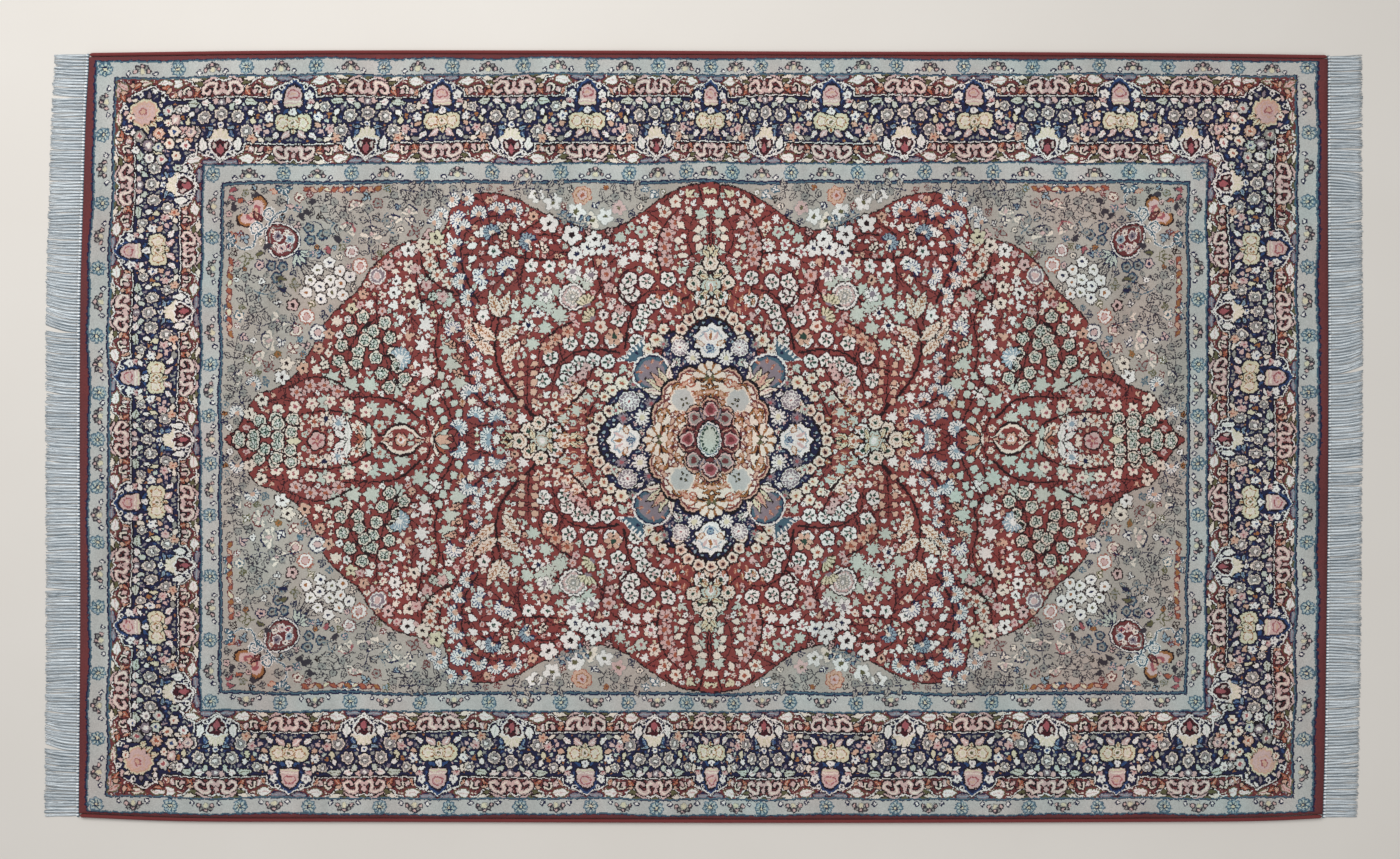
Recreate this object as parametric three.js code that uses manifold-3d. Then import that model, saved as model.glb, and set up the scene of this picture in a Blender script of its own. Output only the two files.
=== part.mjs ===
// A hand-knotted wool rug with a fringe of knotted warp ends at both short sides, lying flat on a floor.
// Millimetres, +Z up, +X along the length. The origin is the middle of the whole outline, on the floor.
// It is built as a weaver makes it: one knotted slab, a wrapped cord along each long side, and at each
// end the narrow web from which the warps come out, knotted in bundles.
import * as THREE from "three";
import { mergeVertices } from "three/addons/utils/BufferGeometryUtils.js";
import Module from "manifold-3d";

const wasm = await Module();
wasm.setup();

// Driving dimensions
const WOVEN_LENGTH = 2450; // from one end web to the other, at mid width
const WOVEN_WIDTH = 1513; // over both side cords
const RUG_THICKNESS = 9; // foundation and pile together
const PILE_EDGE_ROUNDING = 1.5;
const CORD_WIDTH = 8; // side cord, wrapped in wool
const CORD_HEIGHT = 8.4;
const CORD_SIDES = 8;
const CORD_END_ROOM = 0.6; // a side cord stops this far short of the end webs
const CORD_CLEARANCE = 0.45; // beside the pile, whose bow has its corners at other places
const WEB_WIDTH = 5; // the end web, between the pile and the knots
const WEB_HEIGHT = 3.4;
const FRINGE_LENGTH = 73; // from the pile's end to the tips
const BUNDLES = 126; // knotted bundles at each end
const LONG_SIDE_STEPS = 26; // straight stretches that follow a long side's bow
const SHORT_SIDE_STEPS = 18;
const BUNDLE_INSET = 6; // the first and last bundle's place from the long sides
const CLEARANCE = 0.3; // between two pieces

// How far each side of the woven part bows outwards from a true rectangle, by the place along that side.
const WEST_BOW = [
  { at: -757, out: 2 },
  { at: -516, out: 0 },
  { at: -320, out: -1 },
  { at: 0, out: 0 },
  { at: 268, out: -1 },
  { at: 386, out: -4 },
  { at: 484, out: -7 },
  { at: 640, out: -12 },
  { at: 757, out: -19 },
];
const EAST_BOW = [
  { at: -757, out: -11 },
  { at: -560, out: -6 },
  { at: 0, out: 0 },
  { at: 540, out: -1 },
  { at: 757, out: -1 },
];
const NORTH_BOW = [
  { at: -1225, out: -3 },
  { at: -790, out: 2 },
  { at: -200, out: 2 },
  { at: 200, out: 0 },
  { at: 600, out: -1 },
  { at: 1000, out: -4 },
  { at: 1225, out: -7 },
];
const SOUTH_BOW = [
  { at: -1225, out: -9 },
  { at: -1000, out: -1 },
  { at: -600, out: 0 },
  { at: 190, out: 2 },
  { at: 900, out: 0 },
  { at: 1100, out: -2 },
  { at: 1225, out: -8 },
];

// Where the bundles part into tufts: the place at the knots, the width of the gap at the tips,
// and how far the gap's middle is swept along the side there.
const WEST_PARTINGS = [
  { at: -620, gap: 9, sweep: 12 },
  { at: -470, gap: 3, sweep: -4 },
  { at: -300, gap: 4, sweep: 2 },
  { at: -190, gap: 3, sweep: -3 },
  { at: -60, gap: 4, sweep: 3 },
  { at: 80, gap: 7, sweep: 5 },
  { at: 205, gap: 13, sweep: 13 },
  { at: 330, gap: 4, sweep: 6 },
  { at: 470, gap: 3, sweep: -2 },
  { at: 560, gap: 3, sweep: 2 },
  { at: 664, gap: 6, sweep: 2 },
];
const EAST_PARTINGS = [
  { at: -650, gap: 4, sweep: 3 },
  { at: -560, gap: 5, sweep: 6 },
  { at: -400, gap: 4, sweep: -4 },
  { at: -230, gap: 4, sweep: 5 },
  { at: -60, gap: 4, sweep: 3 },
  { at: 120, gap: 9, sweep: 14 },
  { at: 270, gap: 4, sweep: 6 },
  { at: 420, gap: 5, sweep: 4 },
  { at: 525, gap: 9, sweep: -6 },
  { at: 600, gap: 6, sweep: 3 },
];

// A bundle from its root to its tip: share of the length, width and height there.
const BUNDLE_SECTIONS = [
  { share: 0.0, width: 5.4, height: 3.0 },
  { share: 0.09, width: 8.0, height: 5.2 }, // the knot
  { share: 0.45, width: 8.6, height: 3.2 },
  { share: 1.0, width: 6.4, height: 2.2 },
];
const BUNDLE_TOP_SHARE = 0.6; // the flat top of a bundle is this share of its foot

const wool = new THREE.MeshStandardMaterial({ color: 0x7c4a45, roughness: 0.95, metalness: 0 });
const bindingWool = new THREE.MeshStandardMaterial({ color: 0x6f2f2c, roughness: 0.95, metalness: 0 });
const warpCotton = new THREE.MeshStandardMaterial({ color: 0xb9c4c6, roughness: 0.9, metalness: 0 });

// A smooth line through a table's rows, read at one place.
function readTable(rows, place, column) {
  const last = rows.length - 1;
  const held = Math.min(Math.max(place, rows[0].at), rows[last].at);
  const i = Math.min(rows.findIndex((row) => row.at >= held) || 1, last);
  const [before, here, next, after] = [i - 2, i - 1, i, i + 1].map((k) => rows[Math.min(Math.max(k, 0), last)]);
  const t = (held - here.at) / (next.at - here.at);
  const slope = (a, b) => (b.at === a.at ? 0 : ((b[column] - a[column]) / (b.at - a.at)) * (next.at - here.at));
  const [m0, m1] = [slope(before, next), slope(here, after)];
  const [t2, t3] = [t * t, t * t * t];
  return (
    (2 * t3 - 3 * t2 + 1) * here[column] +
    (t3 - 2 * t2 + t) * m0 +
    (-2 * t3 + 3 * t2) * next[column] +
    (t3 - t2) * m1
  );
}

const westX = (y) => -WOVEN_LENGTH / 2 - readTable(WEST_BOW, y, "out");
const eastX = (y) => WOVEN_LENGTH / 2 + readTable(EAST_BOW, y, "out");
const northY = (x) => WOVEN_WIDTH / 2 + readTable(NORTH_BOW, x, "out");
const southY = (x) => -WOVEN_WIDTH / 2 - readTable(SOUTH_BOW, x, "out");

// Evenly spaced numbers from a to b, both ends included.
const steps = (a, b, count) => Array.from({ length: count + 1 }, (_, i) => a + ((b - a) * i) / count);
const longSide = steps(-WOVEN_LENGTH / 2, WOVEN_LENGTH / 2, LONG_SIDE_STEPS);
const shortSide = steps(-WOVEN_WIDTH / 2, WOVEN_WIDTH / 2, SHORT_SIDE_STEPS);
const SAME_POINT = 1; // two outline points nearer than this are one

// The slab's outline, drawn in from the side cords.
function slabOutline(inset) {
  const cordRoom = CORD_WIDTH + CORD_CLEARANCE + inset;
  const held = (x, y) =>
    new THREE.Vector2(
      THREE.MathUtils.clamp(x, westX(y) + inset, eastX(y) - inset),
      THREE.MathUtils.clamp(y, southY(x) + cordRoom, northY(x) - cordRoom),
    );
  const between = shortSide.slice(1, -1);
  const points = [
    ...longSide.map((x) => held(x, -WOVEN_WIDTH)),
    ...between.map((y) => held(WOVEN_LENGTH, y)),
    ...longSide.map((x) => held(x, WOVEN_WIDTH)).reverse(),
    ...between.map((y) => held(-WOVEN_LENGTH, y)).reverse(),
  ];
  return points.filter((p, i) => p.distanceTo(points[(i + 1) % points.length]) > SAME_POINT);
}

// The knotted slab, flat above and below, its edges worn a little round.
function makeSlab() {
  const geometry = new THREE.ExtrudeGeometry(new THREE.Shape(slabOutline(PILE_EDGE_ROUNDING)), {
    depth: RUG_THICKNESS - 2 * PILE_EDGE_ROUNDING,
    bevelEnabled: true,
    bevelThickness: PILE_EDGE_ROUNDING,
    bevelSize: PILE_EDGE_ROUNDING,
    bevelSegments: 1,
  });
  return geometry.translate(0, 0, PILE_EDGE_ROUNDING);
}

// A side cord, wrapped in wool, along a long side's own bow. It lies on one of its flat sides.
function makeSideCord(edgeY, side) {
  const corner = 1 / Math.cos(Math.PI / CORD_SIDES); // from the middle of a flat out to a corner
  const section = new THREE.Shape(
    steps(0, CORD_SIDES - 1, CORD_SIDES - 1).map((k) => {
      const turn = ((k + 0.5) / CORD_SIDES) * Math.PI * 2;
      const high = (Math.cos(turn) * corner * CORD_HEIGHT) / 2;
      return new THREE.Vector2(high, (Math.sin(turn) * corner * CORD_WIDTH) / 2);
    }),
  );
  const places = longSide.map((x) => {
    const y = edgeY(x) - (side * CORD_WIDTH) / 2;
    const held = THREE.MathUtils.clamp(x, westX(y) + CORD_END_ROOM, eastX(y) - CORD_END_ROOM);
    return new THREE.Vector3(held, y, CORD_HEIGHT / 2);
  });
  return new THREE.ExtrudeGeometry(section, {
    steps: LONG_SIDE_STEPS,
    bevelEnabled: false,
    extrudePath: new THREE.CatmullRomCurve3(places),
  });
}

// A closed solid for cutting and joining, from a three.js geometry.
function solidOf(geometry) {
  const bare = geometry.clone();
  bare.deleteAttribute("normal");
  bare.deleteAttribute("uv");
  const merged = mergeVertices(bare, 1e-3);
  return new wasm.Manifold(
    new wasm.Mesh({
      numProp: 3,
      vertProperties: new Float32Array(merged.getAttribute("position").array),
      triVerts: new Uint32Array(merged.getIndex().array),
    }),
  );
}

function geometryOf(solid) {
  const mesh = solid.getMesh();
  const geometry = new THREE.BufferGeometry();
  geometry.setAttribute("position", new THREE.BufferAttribute(mesh.vertProperties, 3));
  geometry.setIndex(new THREE.BufferAttribute(mesh.triVerts, 1));
  geometry.computeVertexNormals();
  return geometry;
}

// How far a bundle's tip is swept along the side: the bundles between two partings lean together.
function tipSweep(partings, y, low, high) {
  const marks = [{ at: low, gap: 0, sweep: 0 }, ...partings, { at: high, gap: 0, sweep: 0 }];
  const i = Math.max(1, marks.findIndex((mark) => mark.at >= y));
  const [below, above] = [marks[i - 1], marks[i]];
  const t = (y - below.at) / (above.at - below.at);
  const fromBelow = below.sweep + below.gap / 2;
  const fromAbove = above.sweep - above.gap / 2;
  return fromBelow + (fromAbove - fromBelow) * t;
}

// One knotted bundle, a box drawn out along its length: flat on the floor, four-sided.
function makeBundle(rootX, rootY, outwards, sweep) {
  const segments = BUNDLE_SECTIONS.length - 1;
  const geometry = new THREE.BoxGeometry(1, 1, 1, segments, 1, 1);
  const position = geometry.getAttribute("position");
  for (let i = 0; i < position.count; i++) {
    const step = Math.round((position.getX(i) + 0.5) * segments);
    const section = BUNDLE_SECTIONS[outwards > 0 ? step : segments - step];
    const top = position.getZ(i) > 0;
    const halfWidth = (section.width / 2) * (top ? BUNDLE_TOP_SHARE : 1);
    const drift = sweep * section.share * section.share * (3 - 2 * section.share);
    position.setXYZ(
      i,
      rootX + outwards * section.share * (FRINGE_LENGTH - WEB_WIDTH / 2),
      rootY + Math.sign(position.getY(i)) * halfWidth + drift,
      top ? section.height : 0,
    );
  }
  return geometry;
}

// The web at one end with its row of bundles, joined at their roots.
function makeFringe(edgeX, outwards, partings) {
  const low = southY((outwards * WOVEN_LENGTH) / 2) + CLEARANCE;
  const high = northY((outwards * WOVEN_LENGTH) / 2) - CLEARANCE;
  const alongWeb = [low, ...shortSide.slice(1, -1), high];
  const inner = alongWeb.map((y) => new THREE.Vector2(edgeX(y) + outwards * CLEARANCE, y));
  const outer = alongWeb.map((y) => new THREE.Vector2(edgeX(y) + outwards * WEB_WIDTH, y));
  const web = new THREE.ExtrudeGeometry(new THREE.Shape([...inner, ...outer.reverse()]), {
    depth: WEB_HEIGHT,
    bevelEnabled: false,
  });
  let joined = solidOf(web);
  for (const rootY of steps(low + BUNDLE_INSET, high - BUNDLE_INSET, BUNDLES - 1)) {
    const sweep = tipSweep(partings, rootY, low, high);
    const rootX = edgeX(rootY) + (outwards * WEB_WIDTH) / 2;
    joined = joined.add(solidOf(makeBundle(rootX, rootY, outwards, sweep)));
  }
  return geometryOf(joined);
}

const rug = new THREE.Group();

function place(name, geometry, material) {
  const mesh = new THREE.Mesh(geometry, material);
  mesh.name = name;
  rug.add(mesh);
}

place("knotted_pile", makeSlab(), wool);
place("side_cord_north", makeSideCord(northY, 1), bindingWool);
place("side_cord_south", makeSideCord(southY, -1), bindingWool);
place("fringe_west", makeFringe(westX, -1, WEST_PARTINGS), warpCotton);
place("fringe_east", makeFringe(eastX, 1, EAST_PARTINGS), warpCotton);

// The origin goes to the middle of the outline, on the floor.
const outline = new THREE.Box3().setFromObject(rug);
const middle = outline.getCenter(new THREE.Vector3());
rug.position.set(-middle.x, -middle.y, -outline.min.z);

export default rug;
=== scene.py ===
# %% [markdown]
# # A hand-knotted rug
# The rug lies flat and is seen from straight above, so almost all of its look is in the wool: tens of
# flowers, leaves and borders in some two dozen dyed colours. This lesson draws the weaver's chart knot by
# knot with numpy, packs it into the faces of one pile mesh, and then adds what surrounds the pile: two
# wrapped side cords and two fringes of knotted cotton warps.

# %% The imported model
import bpy
import numpy as np
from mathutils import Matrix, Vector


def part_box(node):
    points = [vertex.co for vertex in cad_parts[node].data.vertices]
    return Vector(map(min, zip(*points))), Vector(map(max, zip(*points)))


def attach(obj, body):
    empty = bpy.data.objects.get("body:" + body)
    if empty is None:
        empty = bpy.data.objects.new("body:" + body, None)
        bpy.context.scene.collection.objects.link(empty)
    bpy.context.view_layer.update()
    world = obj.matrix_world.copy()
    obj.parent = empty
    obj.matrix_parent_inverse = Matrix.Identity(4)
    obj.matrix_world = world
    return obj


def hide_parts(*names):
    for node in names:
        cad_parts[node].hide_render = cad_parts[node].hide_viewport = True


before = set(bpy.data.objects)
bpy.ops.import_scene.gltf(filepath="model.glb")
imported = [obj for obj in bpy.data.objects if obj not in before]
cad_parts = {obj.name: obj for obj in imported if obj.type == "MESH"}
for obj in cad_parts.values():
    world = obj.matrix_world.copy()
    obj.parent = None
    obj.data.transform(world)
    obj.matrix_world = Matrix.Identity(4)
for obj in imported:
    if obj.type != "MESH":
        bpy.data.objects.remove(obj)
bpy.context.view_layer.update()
print("nodes:", sorted(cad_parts))

# %% [markdown]
# ## The viewpoint
# The rug is photographed from a ladder, looking straight down. A camera with no turn looks down the Z axis
# with +Y up the picture, which is what is wanted. How high it hangs follows from its lens: the height is
# to the width that it sees as the lens's length is to its 36 mm sensor.

# %% Camera
SEEN_WIDTH = 2.744  # m across the picture, from the rug's known length
LENS = 42  # mm
SENSOR = 36  # mm
LOOKS_AT = (-0.0069, 0.0142)  # m from the rug's middle
RUG_TOP = 0.009  # m, which the width is seen at
camera_data = bpy.data.cameras.new("overhead")
camera_data.lens = LENS
camera_data.sensor_width = SENSOR
camera = bpy.data.objects.new("overhead", camera_data)
camera.location = (*LOOKS_AT, SEEN_WIDTH * LENS / SENSOR + RUG_TOP)
bpy.context.collection.objects.link(camera)
bpy.context.scene.camera = camera
print("camera height in metres:", round(camera.location.z, 3))

# %% [markdown]
# ## Colours, nodes and meshes
# Dyers' and screen colours are written as sRGB hex codes, but Blender mixes light linearly, so every
# code goes through one function that undoes the screen's curve. Node materials are written with one more
# function, which adds any node with its settings and fills or links its inputs.

# %% Helpers for colours, nodes and meshes
def linear(code):
    """An sRGB hex code as linear RGBA: the code's share of 255, divided by 12.92 below 0.04045, and above
    it plus 0.055, over 1.055, to the power 2.4."""
    share = np.array([int(code[i : i + 2], 16) for i in (0, 2, 4)]) / 255
    light = np.where(share <= 0.04045, share / 12.92, ((share + 0.055) / 1.055) ** 2.4)
    return (*light.tolist(), 1.0)


def fill(node, inputs):
    """Gives each input a number or colour, or links it: to an output, or to a node's first open output."""
    for name, value in inputs.items():
        if isinstance(value, bpy.types.Node):
            value = next(output for output in value.outputs if output.enabled)
        if isinstance(value, bpy.types.NodeSocket):
            node.id_data.links.new(value, node.inputs[name])
        else:
            node.inputs[name].default_value = value


def put(tree, kind, inputs=None, **settings):
    """Adds a node with its settings and its filled inputs."""
    node = tree.nodes.new("ShaderNode" + kind)
    for name, value in settings.items():
        setattr(node, name, value)
    fill(node, inputs or {})
    return node


def new_material(name):
    """An empty node material: its tree, its shader and itself."""
    material = bpy.data.materials.new(name)
    material.use_nodes = True
    tree = material.node_tree
    tree.nodes.clear()
    shader = put(tree, "BsdfPrincipled")
    put(tree, "OutputMaterial", {"Surface": shader})
    return material, tree, shader


def mesh_object(name, points, faces):
    """A smooth mesh of points in metres and faces of point numbers, as an object in the scene."""
    mesh = bpy.data.meshes.new(name)
    mesh.from_pydata(points, [], faces, shade_flat=False)
    thing = bpy.data.objects.new(name, mesh)
    bpy.context.collection.objects.link(thing)
    return thing


print("madder red in linear light:", np.round(linear("8A3A37"), 3).tolist())

# %% [markdown]
# ## Floor and light
# The rug lies on a plain pale studio floor. One large soft light from the upper left and a weaker one from
# the right keep the shadows under the fringe short and soft, and an even sky fills them.

# %% Floor, lights and sky
FLOOR = 6.0  # m from its middle to its sides
studio_floor = mesh_object("studio_floor", [(-FLOOR, -FLOOR, 0), (FLOOR, -FLOOR, 0), (FLOOR, FLOOR, 0),
                                            (-FLOOR, FLOOR, 0)], [(0, 1, 2, 3)])
floor_paint, tree, shader = new_material("pale_floor_paint")
place = put(tree, "TexCoord")
cloud = put(tree, "TexNoise", {"Vector": place.outputs["Object"], "Scale": 3.0, "Detail": 4.0})
tint = put(tree, "Mix", {"Factor": cloud, "A": linear("CFC9C1"), "B": linear("D6D1CA")},
           data_type="RGBA")
fill(shader, {"Base Color": tint, "Roughness": 0.7})
studio_floor.data.materials.append(floor_paint)

LIGHTS = (  # name, place in m, size in m, watts
    ("window", (-1.2, 2.0, 3.2), 2.4, 114),
    ("room", (1.2, -1.6, 3.6), 2.6, 24),
)
for name, (x, y, z), size, power in LIGHTS:
    lamp_data = bpy.data.lights.new(name, "AREA")
    lamp_data.size = size
    lamp_data.energy = power
    lamp = bpy.data.objects.new(name, lamp_data)
    lamp.location = (x, y, z)
    towards_the_rug = (np.arctan2(np.hypot(x, y), z), 0, np.arctan2(y, x) + np.pi / 2)
    lamp.rotation_euler = towards_the_rug
    bpy.context.collection.objects.link(lamp)
world = bpy.data.worlds.new("sky")
bpy.context.scene.world = world
world.use_nodes = True
fill(world.node_tree.nodes["Background"], {"Color": linear("F4F6F8"), "Strength": 0.5})
bpy.context.scene.view_settings.view_transform = "Standard"  # keeps the dyes as deep as they are
print(len(LIGHTS), "lights")

# %% [markdown]
# ## The weaver's chart
# A knotted rug has no printed picture: it is some sixty knots to the hand's width, each one tuft of dyed
# wool, and the weaver follows a chart of squared paper, one square for one knot. So the design here is
# drawn as such a chart, a grid of colour numbers, by small functions for a petal, a leaf or a branch.
# Painting an image file, or laying thousands of little coloured meshes on the pile, would show the same
# flowers, but neither would have a rug's stepped, knot by knot edges.

# %% Dyed wools
WOOLS = {
    "madder": "7E3D3B",
    "dark_madder": "401A22",
    "bark": "24161A",
    "navy": "1E213F",
    "blue": "2E4670",
    "pale_blue": "8A9DA8",
    "ivory": "DBD8D4",
    "ground": "B3B4B1",
    "putty": "A9A29A",
    "cream": "D8CDC0",
    "straw": "CBC5AB",
    "peach": "C4A18E",
    "tan": "94643F",
    "rust": "9A5744",
    "pink": "C4A8A4",
    "rose": "97555B",
    "mauve": "82777F",
    "grey": "8E8D88",
    "celadon": "B7BFB5",
    "green": "2B4239",
    "olive": "5D5A40",
    "brown": "683537",
    "black": "17131A",
    "steel": "46606F",
    "charcoal": "37333B",
}
(MADDER, DARK_MADDER, BARK, NAVY, BLUE, PALE_BLUE, IVORY, GROUND, PUTTY, CREAM, STRAW, PEACH, TAN, RUST,
 PINK, ROSE, MAUVE, GREY, CELADON, GREEN, OLIVE, BROWN, BLACK, STEEL, CHARCOAL) = range(len(WOOLS))
print(len(WOOLS), "dyed wools")

# %% [markdown]
# The field and its borders are the same in all four quarters, mirrored at the two middle lines, as
# village and town weavers alike have always saved half of the chart twice over. One quarter is drawn,
# from the middle out to an end and up to a side. Lengths are in millimetres on the real rug.

# %% Squared paper
KNOT = 1.5  # mm between knots, a fine town weave
QUARTER_COLUMNS = 815
QUARTER_ROWS = 505
THIN = 0.62 * KNOT  # mm, half a thin ray's width
RIM = 1.4 * KNOT  # mm, a leaf's dark outline
TOOTH = 0.38  # how deep a tooth is cut, as a share of a leaf's half-width


def heading(turn):
    """The unit step along a turn: its cosine and its sine."""
    return np.cos(np.radians(turn)), np.sin(np.radians(turn))


def spot(x, y, turn, along, across=0):
    """Where a motif's own (along, across) place lies once the motif is turned and stands at (x, y)."""
    c, s = heading(turn)
    return x + along * c - across * s, y + along * s + across * c


def turned(x, y, turn, points, scale=1):
    """A motif's own points, scaled, turned and moved to where it stands."""
    return [spot(x, y, turn, a * scale, b * scale) for a, b in points]


def mirrored(points):
    """A half outline and its mirror image across the motif's long axis, as one closed outline."""
    return points + [(a, -b) for a, b in reversed(points) if abs(b) > 0.1]


class Chart:
    """Squared paper of colour numbers. A place is (x, y) in mm: x along the length, y across it.
    A turn is in degrees: 0 points along the length, 90 across it."""

    def __init__(self, columns, rows, colour):
        self.knots = np.full((rows, columns), colour, np.uint8)

    def near(self, x, y, reach):
        """The part of the paper within reach of a place, and every knot's distance from it both ways."""
        rows, columns = self.knots.shape
        left = np.clip(int((x - reach) / KNOT), 0, columns)
        right = np.clip(int((x + reach) / KNOT) + 1, 0, columns)
        low = np.clip(int((y - reach) / KNOT), 0, rows)
        high = np.clip(int((y + reach) / KNOT) + 1, 0, rows)
        across = (np.arange(left, right) + 0.5) * KNOT - x
        up = (np.arange(low, high) + 0.5) * KNOT - y
        return self.knots[low:high, left:right], *np.meshgrid(across, up)

    def rosette(self, x, y, radius, rings, petals=5, lobe=0.2, turn=0, wide=1.0, star=None, point=0.7):
        """A flower from above. Each ring is (share of the radius, colour): the knots nearer to the middle
        than that share times the radius, which dips by the lobe between petals; a higher point makes
        the petals sharper. A star is a colour and a share of the radius: a thin ray down each petal."""
        part, dx, dy = self.near(x, y, 1.2 * radius * max(1, wide))
        angle = np.arctan2(dy, dx / wide) - np.radians(turn)
        petal = 1 - lobe + lobe * np.abs(np.cos(petals * angle / 2)) ** point
        reach = np.hypot(dx / wide, dy) / radius
        for share, colour in rings:
            part[reach < share * petal] = colour
        if star:
            colour, share = star
            beside = reach * np.abs(np.sin(petals * angle / 2)) * 2 / petals
            part[(beside * radius < THIN) & (reach < share) & (reach > 0.12)] = colour

    def leaf(self, x, y, length, width, turn, fill, rim=None, vein=None, teeth=0, belly=0.75):
        """A leaf on its stalk's end. Its half-width follows a sine of the way along it, fullest before
        the middle, cut into teeth if asked; a rim of one knot goes round it and a vein down it."""
        part, dx, dy = self.near(x, y, length + 3 * KNOT)
        c, s = heading(turn)
        along = (dx * c + dy * s) / length
        across = np.abs(dy * c - dx * s)
        held = np.clip(along, 0, 1)
        half = width / 2 * np.sin(np.pi * held**belly) * (1 - (TOOTH * (held * teeth % 1) if teeth else 0))
        if rim is not None:
            part[(along > -RIM / length) & (along < 1 + RIM / length) & (across < half + RIM)] = rim
        inside = (along > 0) & (along < 1) & (across < half)
        part[inside] = fill
        if vein is not None:
            part[inside & (across < 0.5 * KNOT) & (along < 0.8)] = vein

    def leaves(self, rim, table):
        """Leaves with one rim: each row is its foot's x and y, its length, width, turn, fill and vein."""
        for x, y, length, width, turn, fill, *vein in table:
            self.leaf(x, y, length, width, turn, fill, rim, *vein)

    def fan(self, x, y, radius, turn, fill, rim, ray=None, rays=7, spread=80, heart=None):
        """A flower from the side: petals from its foot, up to the spread either side of the turn."""
        part, dx, dy = self.near(x, y, radius + 2 * KNOT)
        away = np.abs((np.arctan2(dy, dx) - np.radians(turn) + np.pi) % (2 * np.pi) - np.pi)
        share = away / np.radians(spread)
        petal = 0.8 + 0.2 * np.abs(np.cos(share * rays * np.pi / 2))
        reach = np.hypot(dx, dy)
        part[(reach < radius * petal + KNOT) & (share < 1.12)] = rim
        inside = (reach < radius * petal) & (share < 1)
        part[inside] = fill
        if ray is not None:
            between = np.abs(np.sin(share * rays * np.pi / 2)) > 0.86
            part[inside & between & (reach > radius * 0.3)] = ray
        if heart is not None:
            part[(reach < radius * 0.3) & (share < 1.4)] = heart

    def stroke(self, points, width, colour, tip=1.0):
        """A line drawn smoothly through a few points, as wide as asked, narrowing to the tip's share."""
        line = smooth(points)
        reach = np.linspace(width, width * tip, len(line)) / 2
        rows, columns = self.knots.shape
        side = int(np.ceil(width / 2 / KNOT))
        for i in range(-side, side + 1):
            for j in range(-side, side + 1):
                at = np.floor(line / KNOT).astype(int) + (i, j)
                beside = np.hypot(*((at + 0.5) * KNOT - line).T)
                keep = (beside < np.maximum(reach, 0.6 * KNOT)) & (at >= 0).all(1)
                keep &= (at[:, 0] < columns) & (at[:, 1] < rows)
                self.knots[at[keep, 1], at[keep, 0]] = colour

    def edging(self, bends, widths=((6, BLACK), (2.4, IVORY))):
        """Straight stretches from bend to bend: a dark line first and a narrower ivory one on it."""
        for width, colour in widths:
            for stretch in zip(bends[:-1], bends[1:]):
                self.stroke(stretch, width, colour)

    def scroll(self, x, y, radius, turn, width, colour, winds, way=1, rim=None):
        """A spiral tendril whose radius shrinks evenly as it winds in."""
        share = np.linspace(0, 1, 24)[:, None]
        angle = np.radians(turn) + way * share * winds * 2 * np.pi
        points = (x, y) + radius * (1 - 0.85 * share) * np.hstack([np.cos(angle), np.sin(angle)])
        if rim is not None:
            self.stroke(points, width + 2 * KNOT, rim)
        self.stroke(points, width, colour, tip=0.6)

    def area(self, points, colour, only=None, straight=False):
        """Everything inside a closed outline: a knot is inside if a line from it crosses the outline an
        odd number of times."""
        outline = np.asarray(points, float) if straight else smooth(points, closed=True, step=2 * KNOT)
        rows, columns = self.knots.shape
        low, high = outline.min(0), outline.max(0)
        c0, c1 = np.clip([low[0] / KNOT, high[0] / KNOT + 1], 0, columns).astype(int)
        r0, r1 = np.clip([low[1] / KNOT, high[1] / KNOT + 1], 0, rows).astype(int)
        x = (np.arange(c0, c1) + 0.5) * KNOT
        inside = np.zeros((r1 - r0, c1 - c0), bool)
        following = np.roll(outline, -1, axis=0)
        for row in range(r0, r1):
            y = (row + 0.5) * KNOT
            hit = (outline[:, 1] > y) != (following[:, 1] > y)
            a, b = outline[hit], following[hit]
            at = a[:, 0] + (y - a[:, 1]) / (b[:, 1] - a[:, 1]) * (b[:, 0] - a[:, 0])
            inside[row - r0] = (x[:, None] < at).sum(1) % 2
        part = self.knots[r0:r1, c0:c1]
        if only is not None:
            inside &= part == only
        part[inside] = colour
        return inside

    def scatter(self, ground, rooms, motif, seed, apart=1.0, zone=None):
        """Small motifs strewn where the ground is bare, those that need most room first: a jittered grid
        of places apart times the room from each other, each kept if the room round it is all ground."""
        counts = []
        for k, room in enumerate(rooms):
            rng = np.random.default_rng(seed + k)
            spacing, count = room * apart, 0
            rows, columns = self.knots.shape
            for y in np.arange(spacing / 2, rows * KNOT, spacing):
                for x in np.arange(spacing / 2, columns * KNOT, spacing):
                    px, py = (x, y) + rng.uniform(-0.4, 0.4, 2) * spacing
                    pick, turn = rng.integers(1000), rng.uniform(0, 360)
                    if zone is not None and not zone(px, py):
                        continue
                    part, dx, dy = self.near(px, py, room)
                    if part.size and (part == ground)[np.hypot(dx, dy) < room].all():
                        motif(self, px, py, room, pick, turn)
                        count += 1
            counts.append(count)
        return counts


def smooth(points, closed=False, step=KNOT / 2):
    """A curve through a few points (Catmull-Rom: each stretch is a cubic that leaves and reaches its
    points along the line between their neighbours), sampled every step mm."""
    p = np.asarray(points, float)
    if closed:
        p = np.vstack([p[-1:], p, p[:2]])
    else:
        p = np.vstack([2 * p[0] - p[1], p, 2 * p[-1] - p[-2]])
    pieces = []
    for a, b, c, d in zip(p[:-3], p[1:-2], p[2:-1], p[3:]):
        t = np.linspace(0, 1, max(2, int(np.hypot(*(c - b)) / step)), endpoint=False)[:, None]
        piece = 2 * b + (c - a) * t + (2 * a - 5 * b + 4 * c - d) * t**2 + (3 * b - a - 3 * c + d) * t**3
        pieces.append(piece / 2)
    return np.vstack(pieces)


# %% [markdown]
# A few flowers come back all over the field. Each is one line of rings: a dark outline first, as every
# motif is outlined with a row of dark knots so that it stays crisp on its ground, then the petals, then
# the heart.

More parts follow.
